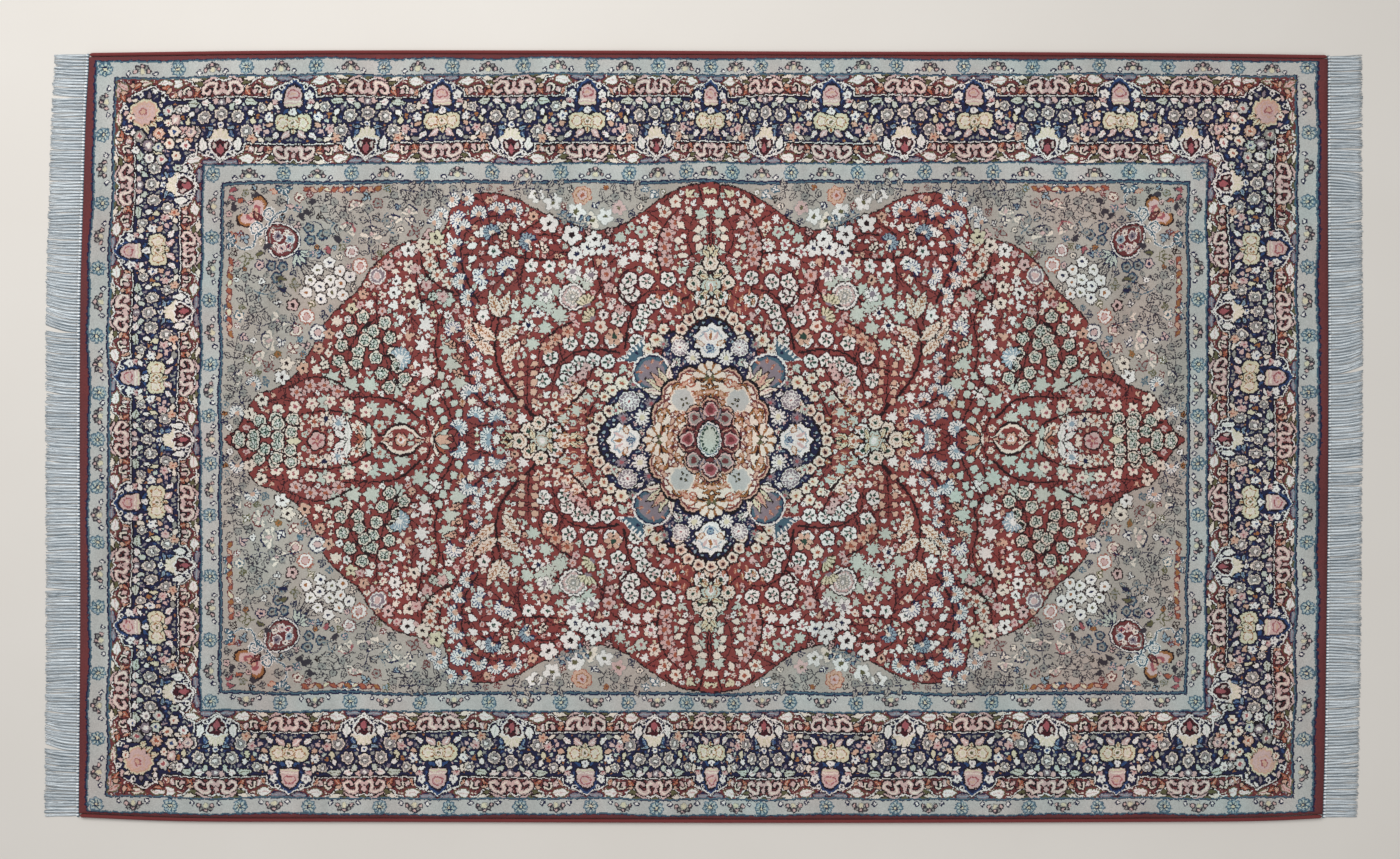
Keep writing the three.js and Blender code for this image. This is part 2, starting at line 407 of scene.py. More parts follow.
# %% Flowers that come back
def blossom(chart, x, y, size=15, turn=0, petal=IVORY, rim=DARK_MADDER, star=GREEN, heart=PINK):
    """A five-petalled blossom with a dark green star in it, outlined."""
    chart.rosette(x, y, size, [(1.2, rim), (0.98, petal)], lobe=0.2, turn=turn)
    chart.rosette(x, y, size * 0.72, [(1.0, star)], lobe=0.8, turn=turn + 36, point=1.6)
    chart.rosette(x, y, size * 0.2, [(1.0, heart)], lobe=0)


def small_blossom(chart, x, y, size=10, turn=0, petal=CREAM, rim=DARK_MADDER, heart=BARK):
    """A small blossom with one dark heart and pointed petals."""
    chart.rosette(x, y, size, [(1.2, rim), (1.04, petal), (0.32, heart)], lobe=0.44, turn=turn, point=0.9)


def daisy(chart, x, y, size=14, turn=0, petal=IVORY, rim=NAVY, heart=STRAW, petals=10):
    """A daisy: narrow pointed petals from a round heart."""
    chart.rosette(x, y, size, [(1.08, rim), (1.0, petal)], petals=petals, lobe=0.55, turn=turn)
    chart.rosette(x, y, size * 0.6, [(1.0, rim)], petals=petals, lobe=0.5, turn=turn + 180 / petals)
    chart.rosette(x, y, size * 0.8, [(0.9, petal)], petals=petals, lobe=0.6, turn=turn)
    chart.rosette(x, y, size * 0.34, [(1.0, heart)], lobe=0)


def maple(chart, x, y, size=17, turn=0, fill=CELADON, rim=DARK_MADDER):
    """A solid leaf of ragged points, longest towards its tip."""
    for grow, colour in ((1.14, rim), (1.0, fill)):
        chart.rosette(x, y, size * grow, [(1.0, colour)], petals=7, lobe=0.5, turn=turn, point=1.3)
        for side in (-52, 0, 52):
            chart.leaf(x, y, size * 1.3 * grow, size * 0.72 * grow, turn + side, colour)


def puff(chart, x, y, size=18, petal=MAUVE, rim=BLACK, lines=IVORY):
    """A round many-petalled flower: three rows of petals, each row outlined in ivory."""
    chart.rosette(x, y, size, [(1.08, rim), (1.0, lines), (0.9, petal)], petals=12, lobe=0.12)
    chart.rosette(x, y, size * 0.66, [(1.0, lines), (0.86, petal)], petals=9, lobe=0.2, turn=15)
    chart.rosette(x, y, size * 0.36, [(1.0, lines), (0.7, ROSE)], petals=6, lobe=0.25)
    chart.rosette(x, y, size, [], petals=12, turn=15, star=(lines, 0.9))


def sprig(chart, x, y, length, turn, fill, rim):
    """A stalk with two pairs of small leaves and one at its tip."""
    width = length * 0.24
    chart.stroke([(x, y), spot(x, y, turn, length * 0.7)], KNOT, BARK)
    for share in (0.15, 0.4):
        for side in (-50, 50):
            chart.leaf(*spot(x, y, turn, length * share), length * 0.36, width, turn + side, fill, rim)
    chart.leaf(*spot(x, y, turn, length * 0.62), length * 0.4, width, turn, fill, rim)


def bough(chart, points, motifs, step, off, width, colour=BARK, tip=0.4):
    """A branch along a smooth line, with a motif at both its sides at even steps: each motif is a function
    of the chart, a place and the way it points."""
    chart.stroke(points, width, colour, tip=tip)
    line = smooth(points)
    run = np.concatenate([[0], np.cumsum(np.hypot(*np.diff(line, axis=0).T))])
    count = 0
    for at in np.arange(step / 2, run[-1], step):
        k = min(np.searchsorted(run, at), len(line) - 2)
        way = line[k + 1] - line[k]
        way = way / np.hypot(*way)
        for side in (1, -1):
            out = np.array([-way[1], way[0]]) * side
            end = line[k] + out * off
            chart.stroke([line[k], end], KNOT, colour)
            lean = out + 0.6 * way
            motifs[count % len(motifs)](chart, *end, np.degrees(np.arctan2(lean[1], lean[0])))
            count += 1


# %% [markdown]
# ## The borders
# From its edge inwards the rug has a red edge, a narrow ivory guard stripe, the wide navy main border
# between two red scroll bands, a second ivory guard and then the field, all parted by lines of dark blue
# knots. They are laid as nested rectangles, the outermost first, each stripe covering the middle of the
# one before. Places are half lengths and half widths in mm, from the middle of the rug.

# %% Stripes
STRIPES = [
    (1230, 760, BROWN), (1209, 744, NAVY), (1206, 742, STEEL), (1203, 739, GROUND),
    (1171, 713, NAVY), (1168, 711, STEEL), (1166, 708, BROWN),
    (995, 540, NAVY), (992, 538, STEEL), (989, 535, GROUND),
    (957, 505, NAVY), (954, 503, STEEL), (951, 500, NAVY), (949, 498, MADDER),
]
quarter = Chart(QUARTER_COLUMNS, QUARTER_ROWS, MADDER)
for half_length, half_width, colour in STRIPES:
    quarter.knots[: round(half_width / KNOT), : round(half_length / KNOT)] = colour
print(len(STRIPES), "stripes on", quarter.knots.shape, "knots")

# %% [markdown]
# The guard stripes carry blue-outlined stars of eight petals. Between two stars stands an arch of five
# small lobes with a square dot at either side. The weaver has squeezed the repeat near the middle of each
# side, where the count didn't come out even, so the places are listed as they were woven.

# %% Guard stripes
OUTER_GUARD = (1189, 727)
INNER_GUARD = (973, 520)
OUTER_STARS_ALONG = [0, 103, 234, 370, 506, 642, 778, 914, 1050, 1189]
OUTER_STARS_ACROSS = [0, 92, 204, 336, 467, 598, 727]
INNER_STARS_ALONG = [46, 160, 293, 428, 564, 700, 836, 973]
INNER_STARS_ACROSS = [46, 147, 272, 397, 520]


def guard_star(x, y):
    """A round flower of eight petals with a sharp star and a straw heart in it."""
    quarter.rosette(x, y, 15, [(1.0, STEEL), (0.84, PALE_BLUE), (0.66, CELADON)], petals=8, lobe=0.2)
    quarter.rosette(x, y, 13, [(1.0, STEEL)], petals=8, lobe=0.72, turn=22.5, point=3)
    quarter.rosette(x, y, 4.4, [(1.0, NAVY), (0.6, STRAW)], lobe=0)


def guard_arch(x, y, turn):
    """Five beads on half an ellipse over a bud, between two dots; it opens away from the turn."""
    quarter.rosette(*spot(x, y, turn, -4), 6, [(1.1, GREY), (0.8, STRAW)], petals=3, lobe=0.1)
    for k in range(5):
        c, s = heading(10 + 40 * k)
        bead = spot(x, y, turn, 12 * s - 6, 13 * c)
        quarter.rosette(*bead, 5.2, [(1.0, CHARCOAL), (0.5, (PINK, GREY)[k % 2])], lobe=0)
    for side in (-26, 26):
        quarter.rosette(*spot(x, y, turn, -8, side), 5.8, [(1.0, NAVY), (0.52, IVORY)], petals=4, lobe=0.3)


for stars_along, stars_across, (guard_x, guard_y) in (
    (OUTER_STARS_ALONG, OUTER_STARS_ACROSS, OUTER_GUARD),
    (INNER_STARS_ALONG, INNER_STARS_ACROSS, INNER_GUARD),
):
    for place in stars_along:
        guard_star(place, guard_y)
    for place in stars_across:
        guard_star(guard_x, place)
    for a, b in zip([-stars_along[0]] + stars_along, stars_along):
        if b > a:
            guard_arch((a + b) / 2, guard_y, 90)
    for a, b in zip([-stars_across[0]] + stars_across, stars_across):
        if b > a:
            guard_arch(guard_x, (a + b) / 2, 0)

# %% [markdown]
# The main border repeats one unit, turned over each time: at its start a niche opens outwards round a
# bell-shaped palmette with a pale double flower under it, and at its end another opens inwards round a
# heart-shaped one. It is charted once on a paper of its own, from niche to niche, and then copied along
# both sides, stretched or squeezed to the length it has there.

# %% The main border's unit
UNIT = 144  # mm from an outer niche's middle to an inner one's
BAND = 168  # mm across the main border
LOW_LINE, HIGH_LINE = 38, 128  # mm, the navy band's edges
unit = Chart(round(UNIT / KNOT), round(BAND / KNOT), BROWN)
NICHE_LINE = [(0, 164), (9, 157), (22, 153), (34, 149), (44, 142), (45, HIGH_LINE), (UNIT + 9, HIGH_LINE)]
LOW_NICHE_LINE = [(UNIT - x, BAND - y) for x, y in NICHE_LINE]
LOW_NICHE_LINE = [(x, LOW_LINE if y == BAND - HIGH_LINE else y) for x, y in LOW_NICHE_LINE]
BAND_SCROLL = [(0, 25), (9, 32), (16, 26), (14, 14), (24, 11), (36, 18), (39, 28), (31, 32), (25, 27)]
BRACKET = [(0, 9), (10, 4), (24, 8), (40, 18), (54, 15), (64, 5), (74, 2)]
DOT = [(1.0, IVORY), (0.5, BLACK)]


def flame(chart, x, y, turn):
    """A rust leaf with a smaller peach one beside it."""
    chart.leaves(BLACK, ((x, y, 20, 9, turn, RUST, PEACH), (x, y, 13, 7, turn - 60, PEACH)))


def band_crumb(chart, x, y, room, pick, turn):
    """A scrap of leaf on the red bands."""
    fill = (PINK, IVORY, RUST, PEACH, CREAM, OLIVE)[pick % 6]
    chart.leaf(
        x - room * 0.5, y, room * 1.3, room * 0.8, (20, 160)[pick % 2], fill, BLACK if room > 4 else None,
    )


def crumb_of(*fills):
    """A scrap of leaf without a rim, in one of the fills."""
    def crumb(chart, x, y, room, pick, turn):
        foot = spot(x, y, turn, -room * 0.85)
        chart.leaf(*foot, room * 1.75, room * 1.15, turn, fills[pick % len(fills)])
    return crumb


def draw_red_band():
    """Half a repeat of the red bands: a pair of facing leaf scrolls over an ivory bracket, then a flame,
    a curled leaf and an ivory leaf. The band is charted once and serves both sides of the navy."""
    band = Chart(unit.knots.shape[1], int((BAND - HIGH_LINE) / KNOT), BROWN)
    band.area([(-9, -3)] + BRACKET + [(74, -3)], OLIVE, straight=True)
    band.leaves(BARK, ((10, 0, 32, 9, 18, PINK), (70, 1, 30, 8, 172, CREAM)))
    for width, colour in ((5.5, BARK), (2.4, IVORY)):
        band.stroke(BRACKET, width, colour)
    band.stroke(BAND_SCROLL, 12.5, BLACK)
    band.stroke(BAND_SCROLL, 8.4, PINK, tip=0.8)
    band.stroke(BAND_SCROLL[1:-1], 3.2, CREAM, tip=0.8)
    band.leaf(0, 11, 12, 9, 90, PINK, BLACK)
    flame(band, 45, 22, 52)
    band.scroll(69, 24, 9, 40, 4, CREAM, winds=1.1, way=-1, rim=BLACK)
    band.leaf(62, 33, 14, 8, -50, PINK, BLACK)
    band.leaf(80, 8, 30, 15, 6, IVORY, OLIVE, PINK)
    band.leaves(BLACK, ((82, 22, 18, 10, 60, PINK, IVORY), (100, 24, 17, 9, 130, PEACH, RUST)))
    band.leaf(110, 3, 32, 9, 2, MAUVE, NAVY, PALE_BLUE)
    band.scatter(BROWN, (5, 3.6, 2.6), band_crumb, seed=41, apart=1.25)
    return band.knots


def draw_unit():
    """The whole unit, from the ground up: what is drawn later lies over what was drawn before."""
    # The red bands, the outer one drawn from the unit's end backwards.
    band = draw_red_band()
    unit.knots[: len(band)] = band
    unit.knots[-len(band) :] = band[::-1, ::-1]

    # The navy band with its two niches, and the ivory line round them.
    unit.area(NICHE_LINE + LOW_NICHE_LINE, NAVY, straight=True)
    unit.edging(NICHE_LINE)
    unit.edging(LOW_NICHE_LINE)
    for x, y in ((23, 147), (UNIT - 23, BAND - 147)):
        unit.rosette(x, y, 5.2, DOT, lobe=0)

    # The outer niche: a bell palmette under blue scrolls.
    unit.stroke([(0, 161), (9, 154), (19, 142), (24, 128), (22, 116)], 3.6, BLUE, tip=0.6)
    bell = [(0, 153), (11, 148), (18, 138), (19, 124), (18, 110), (0, 109)]
    inner_bell = [(0, 150), (10, 145), (16, 136), (17, 124), (16, 112), (0, 111)]
    for half_bell, colour in ((bell, BLACK), (inner_bell, PINK)):
        unit.area(half_bell + [(-x, y) for x, y in half_bell[-2:0:-1]], colour)
    unit.stroke([(0, 143), (7, 140), (11, 133), (7, 128), (0, 127)], 2.4, ROSE)
    unit.stroke([(0, 137), (5, 134)], 3, PEACH)
    unit.stroke([(0, 120), (15, 120)], 4.5, CREAM)
    unit.stroke([(0, 114), (15, 114)], 4.5, STRAW)
    small_blossom(unit, 31, 131, 9, 20, IVORY, BLACK, MAUVE)
    small_blossom(unit, 36, 117, 8, 50, PINK, BLACK, ROSE)
    unit.leaves(BLACK, ((26, 108, 16, 7, 20, IVORY), (8, 106, 16, 6, -40, BLUE)))
    unit.rosette(0, 101, 8, [(1.2, BLACK), (0.95, IVORY), (0.3, MAUVE)], petals=3, turn=90, lobe=0.3)

    # The pale double flower under it, with rosy leaves.
    for x, size in ((20, 17), (0, 13)):
        unit.rosette(x, 80, size, [(1.16, BLACK), (1.0, STRAW)], petals=4, turn=45, lobe=0.12)
    unit.rosette(20, 80, 11, [(1.0, TAN), (0.84, CREAM), (0.4, STRAW)], lobe=0.3)
    unit.rosette(0, 80, 9, [(1.0, TAN), (0.84, CREAM), (0.35, OLIVE)], lobe=0.3, turn=90)
    unit.leaves(BLACK, ((0, 69, 12, 9, -90, STRAW, TAN), (8, 64, 22, 12, -42, PINK, IVORY),
                        (30, 60, 20, 10, -38, IVORY, PINK)))

    # The inner niche: a dark heart under a crown of pale petals, between ivory leaves.
    unit.fan(UNIT, 44, 25, 90, CREAM, BLACK, STRAW, rays=7, spread=100)
    heart = [(144, 8), (134, 15), (125, 26), (122, 38), (127, 47), (135, 46), (144, 51)]
    heart += [(2 * UNIT - x, y) for x, y in heart[-2:0:-1]]
    unit.area(heart, IVORY)
    unit.area([(UNIT + (x - UNIT) * 0.84, 31 + (y - 31) * 0.84) for x, y in heart], DARK_MADDER)
    unit.leaves(BLACK, ((144, 18, 20, 12, 90, ROSE, CELADON), (135, 28, 14, 7, 105, PINK, CELADON),
                        (113, 25, 27, 15, 98, IVORY, CELADON), (120, 50, 20, 8, 68, BLUE, PALE_BLUE),
                        (131, 66, 15, 7, 165, PALE_BLUE, BLUE)))
    unit.rosette(144, 74, 7, [(1.2, BLACK), (0.9, IVORY), (0.4, BLUE)], petals=3, turn=90, lobe=0.3)

    # Flowers between the niches.
    rings = [(1.16, BLACK), (0.98, CREAM), (0.8, MAUVE), (0.66, GREY), (0.44, CHARCOAL), (0.32, IVORY)]
    for x, y, size in ((144, 95, 13), (111, 90, 13), (94, 62, 13), (62, 108, 10)):
        unit.rosette(x, y, size, rings, petals=7, lobe=0.24)
    unit.leaves(BLACK, ((98, 119, 26, 13, 184, CELADON, OLIVE), (104, 121, 20, 12, -18, IVORY, PINK),
                        (126, 120, 16, 10, 6, PINK)))
    unit.rosette(144, 118, 8, [(1.2, BLACK), (0.95, MAUVE), (0.5, IVORY)], lobe=0.2)
    for x, y, turn, fill in (
        (78, 90, 30, IVORY), (82, 76, 100, STRAW), (58, 88, 200, PINK), (70, 52, 60, IVORY),
        (54, 72, 150, PEACH), (47, 104, 95, CREAM), (128, 104, 130, CELADON), (88, 104, 250, IVORY),
        (44, 46, 8, GREY), (60, 44, 20, CREAM),
    ):
        unit.leaf(x, y, 15, 9, turn, fill, BLACK)
    small_blossom(unit, 49, 90, 9, 10, IVORY, BLACK, BLUE)
    small_blossom(unit, 72, 66, 9, 40, PINK, BLACK, ROSE)
    small_blossom(unit, 84, 48, 9, 40, PEACH, BLACK, RUST)
    crumb = crumb_of(CREAM, PINK, CELADON, GREY, MAUVE, BLUE, TAN, GREY)
    unit.scatter(NAVY, (7, 5.6, 4.4, 3.4), crumb, seed=1)


draw_unit()
print("border unit of", unit.knots.shape, "knots")

# %% Copying the unit round the rug
ALONG_NICHES = [0, 107, 241, 388, 527, 674, 817, 960]  # outer first, then inner and outer by turns
ACROSS_NICHES = [0, 124, 250, 372, 498]  # inner first
CORNER_REACH = 96  # mm past the last niche that the unit's copy still runs
BORDER_X, BORDER_Y = STRIPES[7][:2]  # the main border's inner edges
BORDER_OUT_X, BORDER_OUT_Y = STRIPES[6][:2]


def run_of_units(places, starts_outer, until):
    """For each knot along a side, the unit's column that it copies: forwards from an outer niche to an
    inner one, and backwards to the next."""
    at = (np.arange(round(until / KNOT)) + 0.5) * KNOT
    which = np.clip(np.searchsorted(places, at, side="right") - 1, 0, len(places) - 2)
    places = np.array(places, float)
    share = (at - places[which]) / (places[which + 1] - places[which])
    over = at > places[-1]
    share[over] = 1 + (at[over] - places[-1]) / UNIT
    forwards = which % 2 == (0 if starts_outer else 1)
    share = np.where(forwards, share, 1 - share)
    share = np.where(share > 1, 2 - share, np.abs(share))
    return np.clip((share * unit.knots.shape[1]).astype(int), 0, unit.knots.shape[1] - 1)


def band_rows(inner, outer):
    """For each knot across the border, the unit's row that it copies."""
    count = round(outer / KNOT) - round(inner / KNOT)
    return (np.arange(count) * unit.knots.shape[0] / count).astype(int)


CORNER_X = ALONG_NICHES[-1] + CORNER_REACH
CORNER_Y = ACROSS_NICHES[-1] + CORNER_REACH
along = run_of_units(ALONG_NICHES, True, CORNER_X)
across = run_of_units(ACROSS_NICHES, False, CORNER_Y)
rows_y = band_rows(BORDER_Y, BORDER_OUT_Y)
rows_x = band_rows(BORDER_X, BORDER_OUT_X)
start_y, start_x = round(BORDER_Y / KNOT), round(BORDER_X / KNOT)
quarter.knots[: len(across), start_x : start_x + len(rows_x)] = unit.knots[rows_x][:, across].T
quarter.knots[start_y : start_y + len(rows_y), : len(along)] = unit.knots[rows_y][:, along]

# %% [markdown]
# At the corner the unit can't turn, so the weaver has drawn the join by itself: a big rosy flower in a
# niche with two points, one for each side, and a plain step in the ivory line at the inner corner.

# %% The corner
CORNER_NICHE = [(1054, 668), (1064, 669), (1070, 681), (1082, 684), (1097, 696), (1114, 687), (1134, 677),
                (1150, 664), (1155, 646), (1166, 628), (1156, 612), (1150, 600), (1134, 598), (1127, 591)]
INNER_STEP = [(1005, 580), (1005, 560), (1022, 553), (1027, 541), (1034, 536), (1034, 528)]


def in_corner(x, y):
    """Whether a place is in the corner's square or its step."""
    return CORNER_X - 60 < x < BORDER_OUT_X and CORNER_Y - 70 < y < BORDER_OUT_Y


def draw_corner():
    """The corner's ground, its two points' edging, the rosy flower and what surrounds it."""
    c0, r0 = round(CORNER_X / KNOT), round(CORNER_Y / KNOT)
    quarter.knots[r0 : start_y + len(rows_y), c0 : start_x + len(rows_x)] = BROWN
    quarter.area(CORNER_NICHE + [(CORNER_X - 2, CORNER_Y - 2)], NAVY, straight=True)
    quarter.area(INNER_STEP + [(1068, 528), (1068, 580)], NAVY, straight=True)
    quarter.edging(CORNER_NICHE)
    quarter.edging(INNER_STEP)
    for x, y in ((1078, 677), (1120, 677), (1147, 651), (1148, 609)):
        quarter.rosette(x, y, 5, DOT, lobe=0)
    quarter.rosette(
        1110, 640, 30, [(1.05, BLACK), (1.0, STRAW), (0.88, PEACH), (0.74, PINK)], petals=13, lobe=0.14,
    )
    quarter.rosette(1113, 644, 16, [(1.0, PEACH), (0.86, PINK), (0.5, ROSE), (0.36, PEACH)], lobe=0.25)
    for x, y, turn in ((1096, 624, 225), (1106, 616, 250), (1088, 632, 200)):
        quarter.leaf(x, y, 17, 10, turn, STRAW, BLACK, TAN)
    daisy(quarter, 1155, 694, 11, petal=MAUVE, rim=BLACK, heart=PEACH, petals=8)
    for x, y, size, petal, heart in (
        (1063, 646, 12, GROUND, ROSE), (1048, 628, 11, PINK, IVORY), (1048, 604, 12, CREAM, BLUE),
        (1078, 600, 12, PEACH, RUST), (1116, 594, 12, GREY, ROSE), (1099, 575, 12, MAUVE, IVORY),
        (1079, 572, 10, CELADON, BLUE), (1057, 580, 11, CREAM, RUST), (1073, 548, 11, GROUND, ROSE),
        (1097, 550, 10, IVORY, MAUVE), (1026, 576, 10, IVORY, ROSE), (1016, 602, 11, PINK, MAUVE),
        (1044, 556, 10, CREAM, RUST), (1124, 566, 9, IVORY, BLUE), (1062, 622, 8, CREAM, RUST),
        (1042, 532, 8, CELADON, NAVY), (1030, 650, 9, IVORY, MAUVE), (1136, 630, 8, CREAM, RUST),
    ):
        quarter.rosette(
            x, y, size, [(1.2, BLACK), (0.95, petal), (0.5, CREAM), (0.36, heart)], petals=6, lobe=0.3,
        )
    for x, y, turn, fill in ((1126, 664, 20, CREAM), (1140, 642, -20, PINK), (1090, 682, 40, IVORY),
                             (1082, 662, 130, CREAM), (1074, 664, 60, IVORY), (1128, 606, -60, IVORY),
                             (1142, 660, 100, PINK), (1104, 670, 90, MAUVE)):
        quarter.leaf(x, y, 13, 7, turn, fill, BLACK)
    for x, y, turn, fill, vein in (
        (1060, 700, 4, IVORY, PINK), (1124, 700, 176, CREAM, ROSE), (1160, 578, 92, IVORY, PINK),
        (1160, 640, 268, CREAM, ROSE), (1160, 668, 84, PINK, RUST), (1144, 688, 30, PINK, RUST),
    ):
        quarter.leaf(x, y, 26, 10, turn, fill, OLIVE, vein)
    for x, y, turn in ((1136, 690, 150), (1158, 680, -120), (1062, 690, 10), (1150, 586, 80)):
        flame(quarter, x, y, turn)
    crumb = crumb_of(CREAM, PINK, GREY, MAUVE, BLUE)
    quarter.scatter(NAVY, (6, 4.6, 3.4), crumb, seed=5, zone=in_corner)
    quarter.scatter(BROWN, (5, 3.6, 2.6), band_crumb, seed=9, apart=1.25, zone=in_corner)


draw_corner()
print("units at", ALONG_NICHES, "mm along and", ACROSS_NICHES, "mm across")

# %% [markdown]
# ## The field
# The field is a brick-red garden with lobed sides, lying on an ivory-grey ground whose four corners show
# as spandrels. Its outline is a smooth curve through the tips and dips of the lobes, and a dark stem
# follows it.

# %% Ground and lobed garden
FIELD_END, FIELD_SIDE = STRIPES[-1][:2]
quarter.knots[: round(FIELD_SIDE / KNOT), : round(FIELD_END / KNOT)] = PUTTY
LOBES = [(945, 2), (918, 26), (884, 84), (846, 100), (806, 128), (774, 176), (752, 226), (722, 262),
         (684, 296), (658, 336), (612, 376), (562, 394), (526, 404), (514, 426), (506, 456), (470, 476),
         (424, 480), (376, 468), (336, 446), (290, 428), (246, 410), (206, 406), (168, 420), (132, 446),
         (92, 474), (50, 492), (8, 497)]
quarter.area([(-40, -40), (946, -40)] + LOBES + [(-40, 497)], MADDER, only=PUTTY)
quarter.stroke(LOBES, 2.6, BARK)
print("garden outline of", len(LOBES), "points")


# %% [markdown]
# ### The spandrels
# Each corner holds a shield-shaped palmette under a crest of two spiral scrolls, and fine vines with
# small outlined leaves and pale flowers. On the pale ground the weaver outlines in charcoal and navy
# and fills with tints barely darker than the ground, so the corners look quiet beside the garden.

# %% Spandrel motifs
def fan_daisy(chart, x, y, turn, size=17, fill=IVORY, rim=BARK, ray=STEEL, heart=PEACH):
    """A daisy from the side, nine rays over more than half a circle."""
    chart.fan(x, y, size, turn, fill, rim, ray, rays=9, spread=120, heart=heart)


def pale_flower(chart, x, y, size, turn, fill, rim, heart):
    """A five-lobed flower inside its dark outline."""
    chart.rosette(x, y, size, [(1.0, rim), (0.84, fill), (0.26, heart)], lobe=0.25, turn=turn)


def pale_palmette(chart, x, y, size, turn, arc):
    """A wide pale flower whose far edge is a dark crescent."""
    chart.fan(x, y, size, turn, CREAM, GREY, GREY, rays=5, spread=95)
    crescent = mirrored([(0.5, 0.85), (0.95, 0.45), (1.08, 0)])
    chart.stroke(turned(x, y, turn, crescent, size), 4.2, arc, tip=0.3)
    chart.leaf(*spot(x, y, turn, size * 0.1), size * 0.6, size * 0.4, turn, PINK, GREY)


def vine(points, step=22, stem=CHARCOAL, fill=PUTTY, rim=CHARCOAL, length=15):
    """A stem with outlined leaves and round outlined flowers by turns."""
    def leafy(chart, x, y, turn):
        chart.leaf(x, y, length, length * 0.56, turn, fill, rim, stem)

    def bud(chart, x, y, turn):
        pale_flower(chart, x, y, length * 0.6, turn, GREY, rim, stem)

    bough(quarter, points, [leafy, leafy, bud], step, 6, 2.4, stem, tip=0.7)


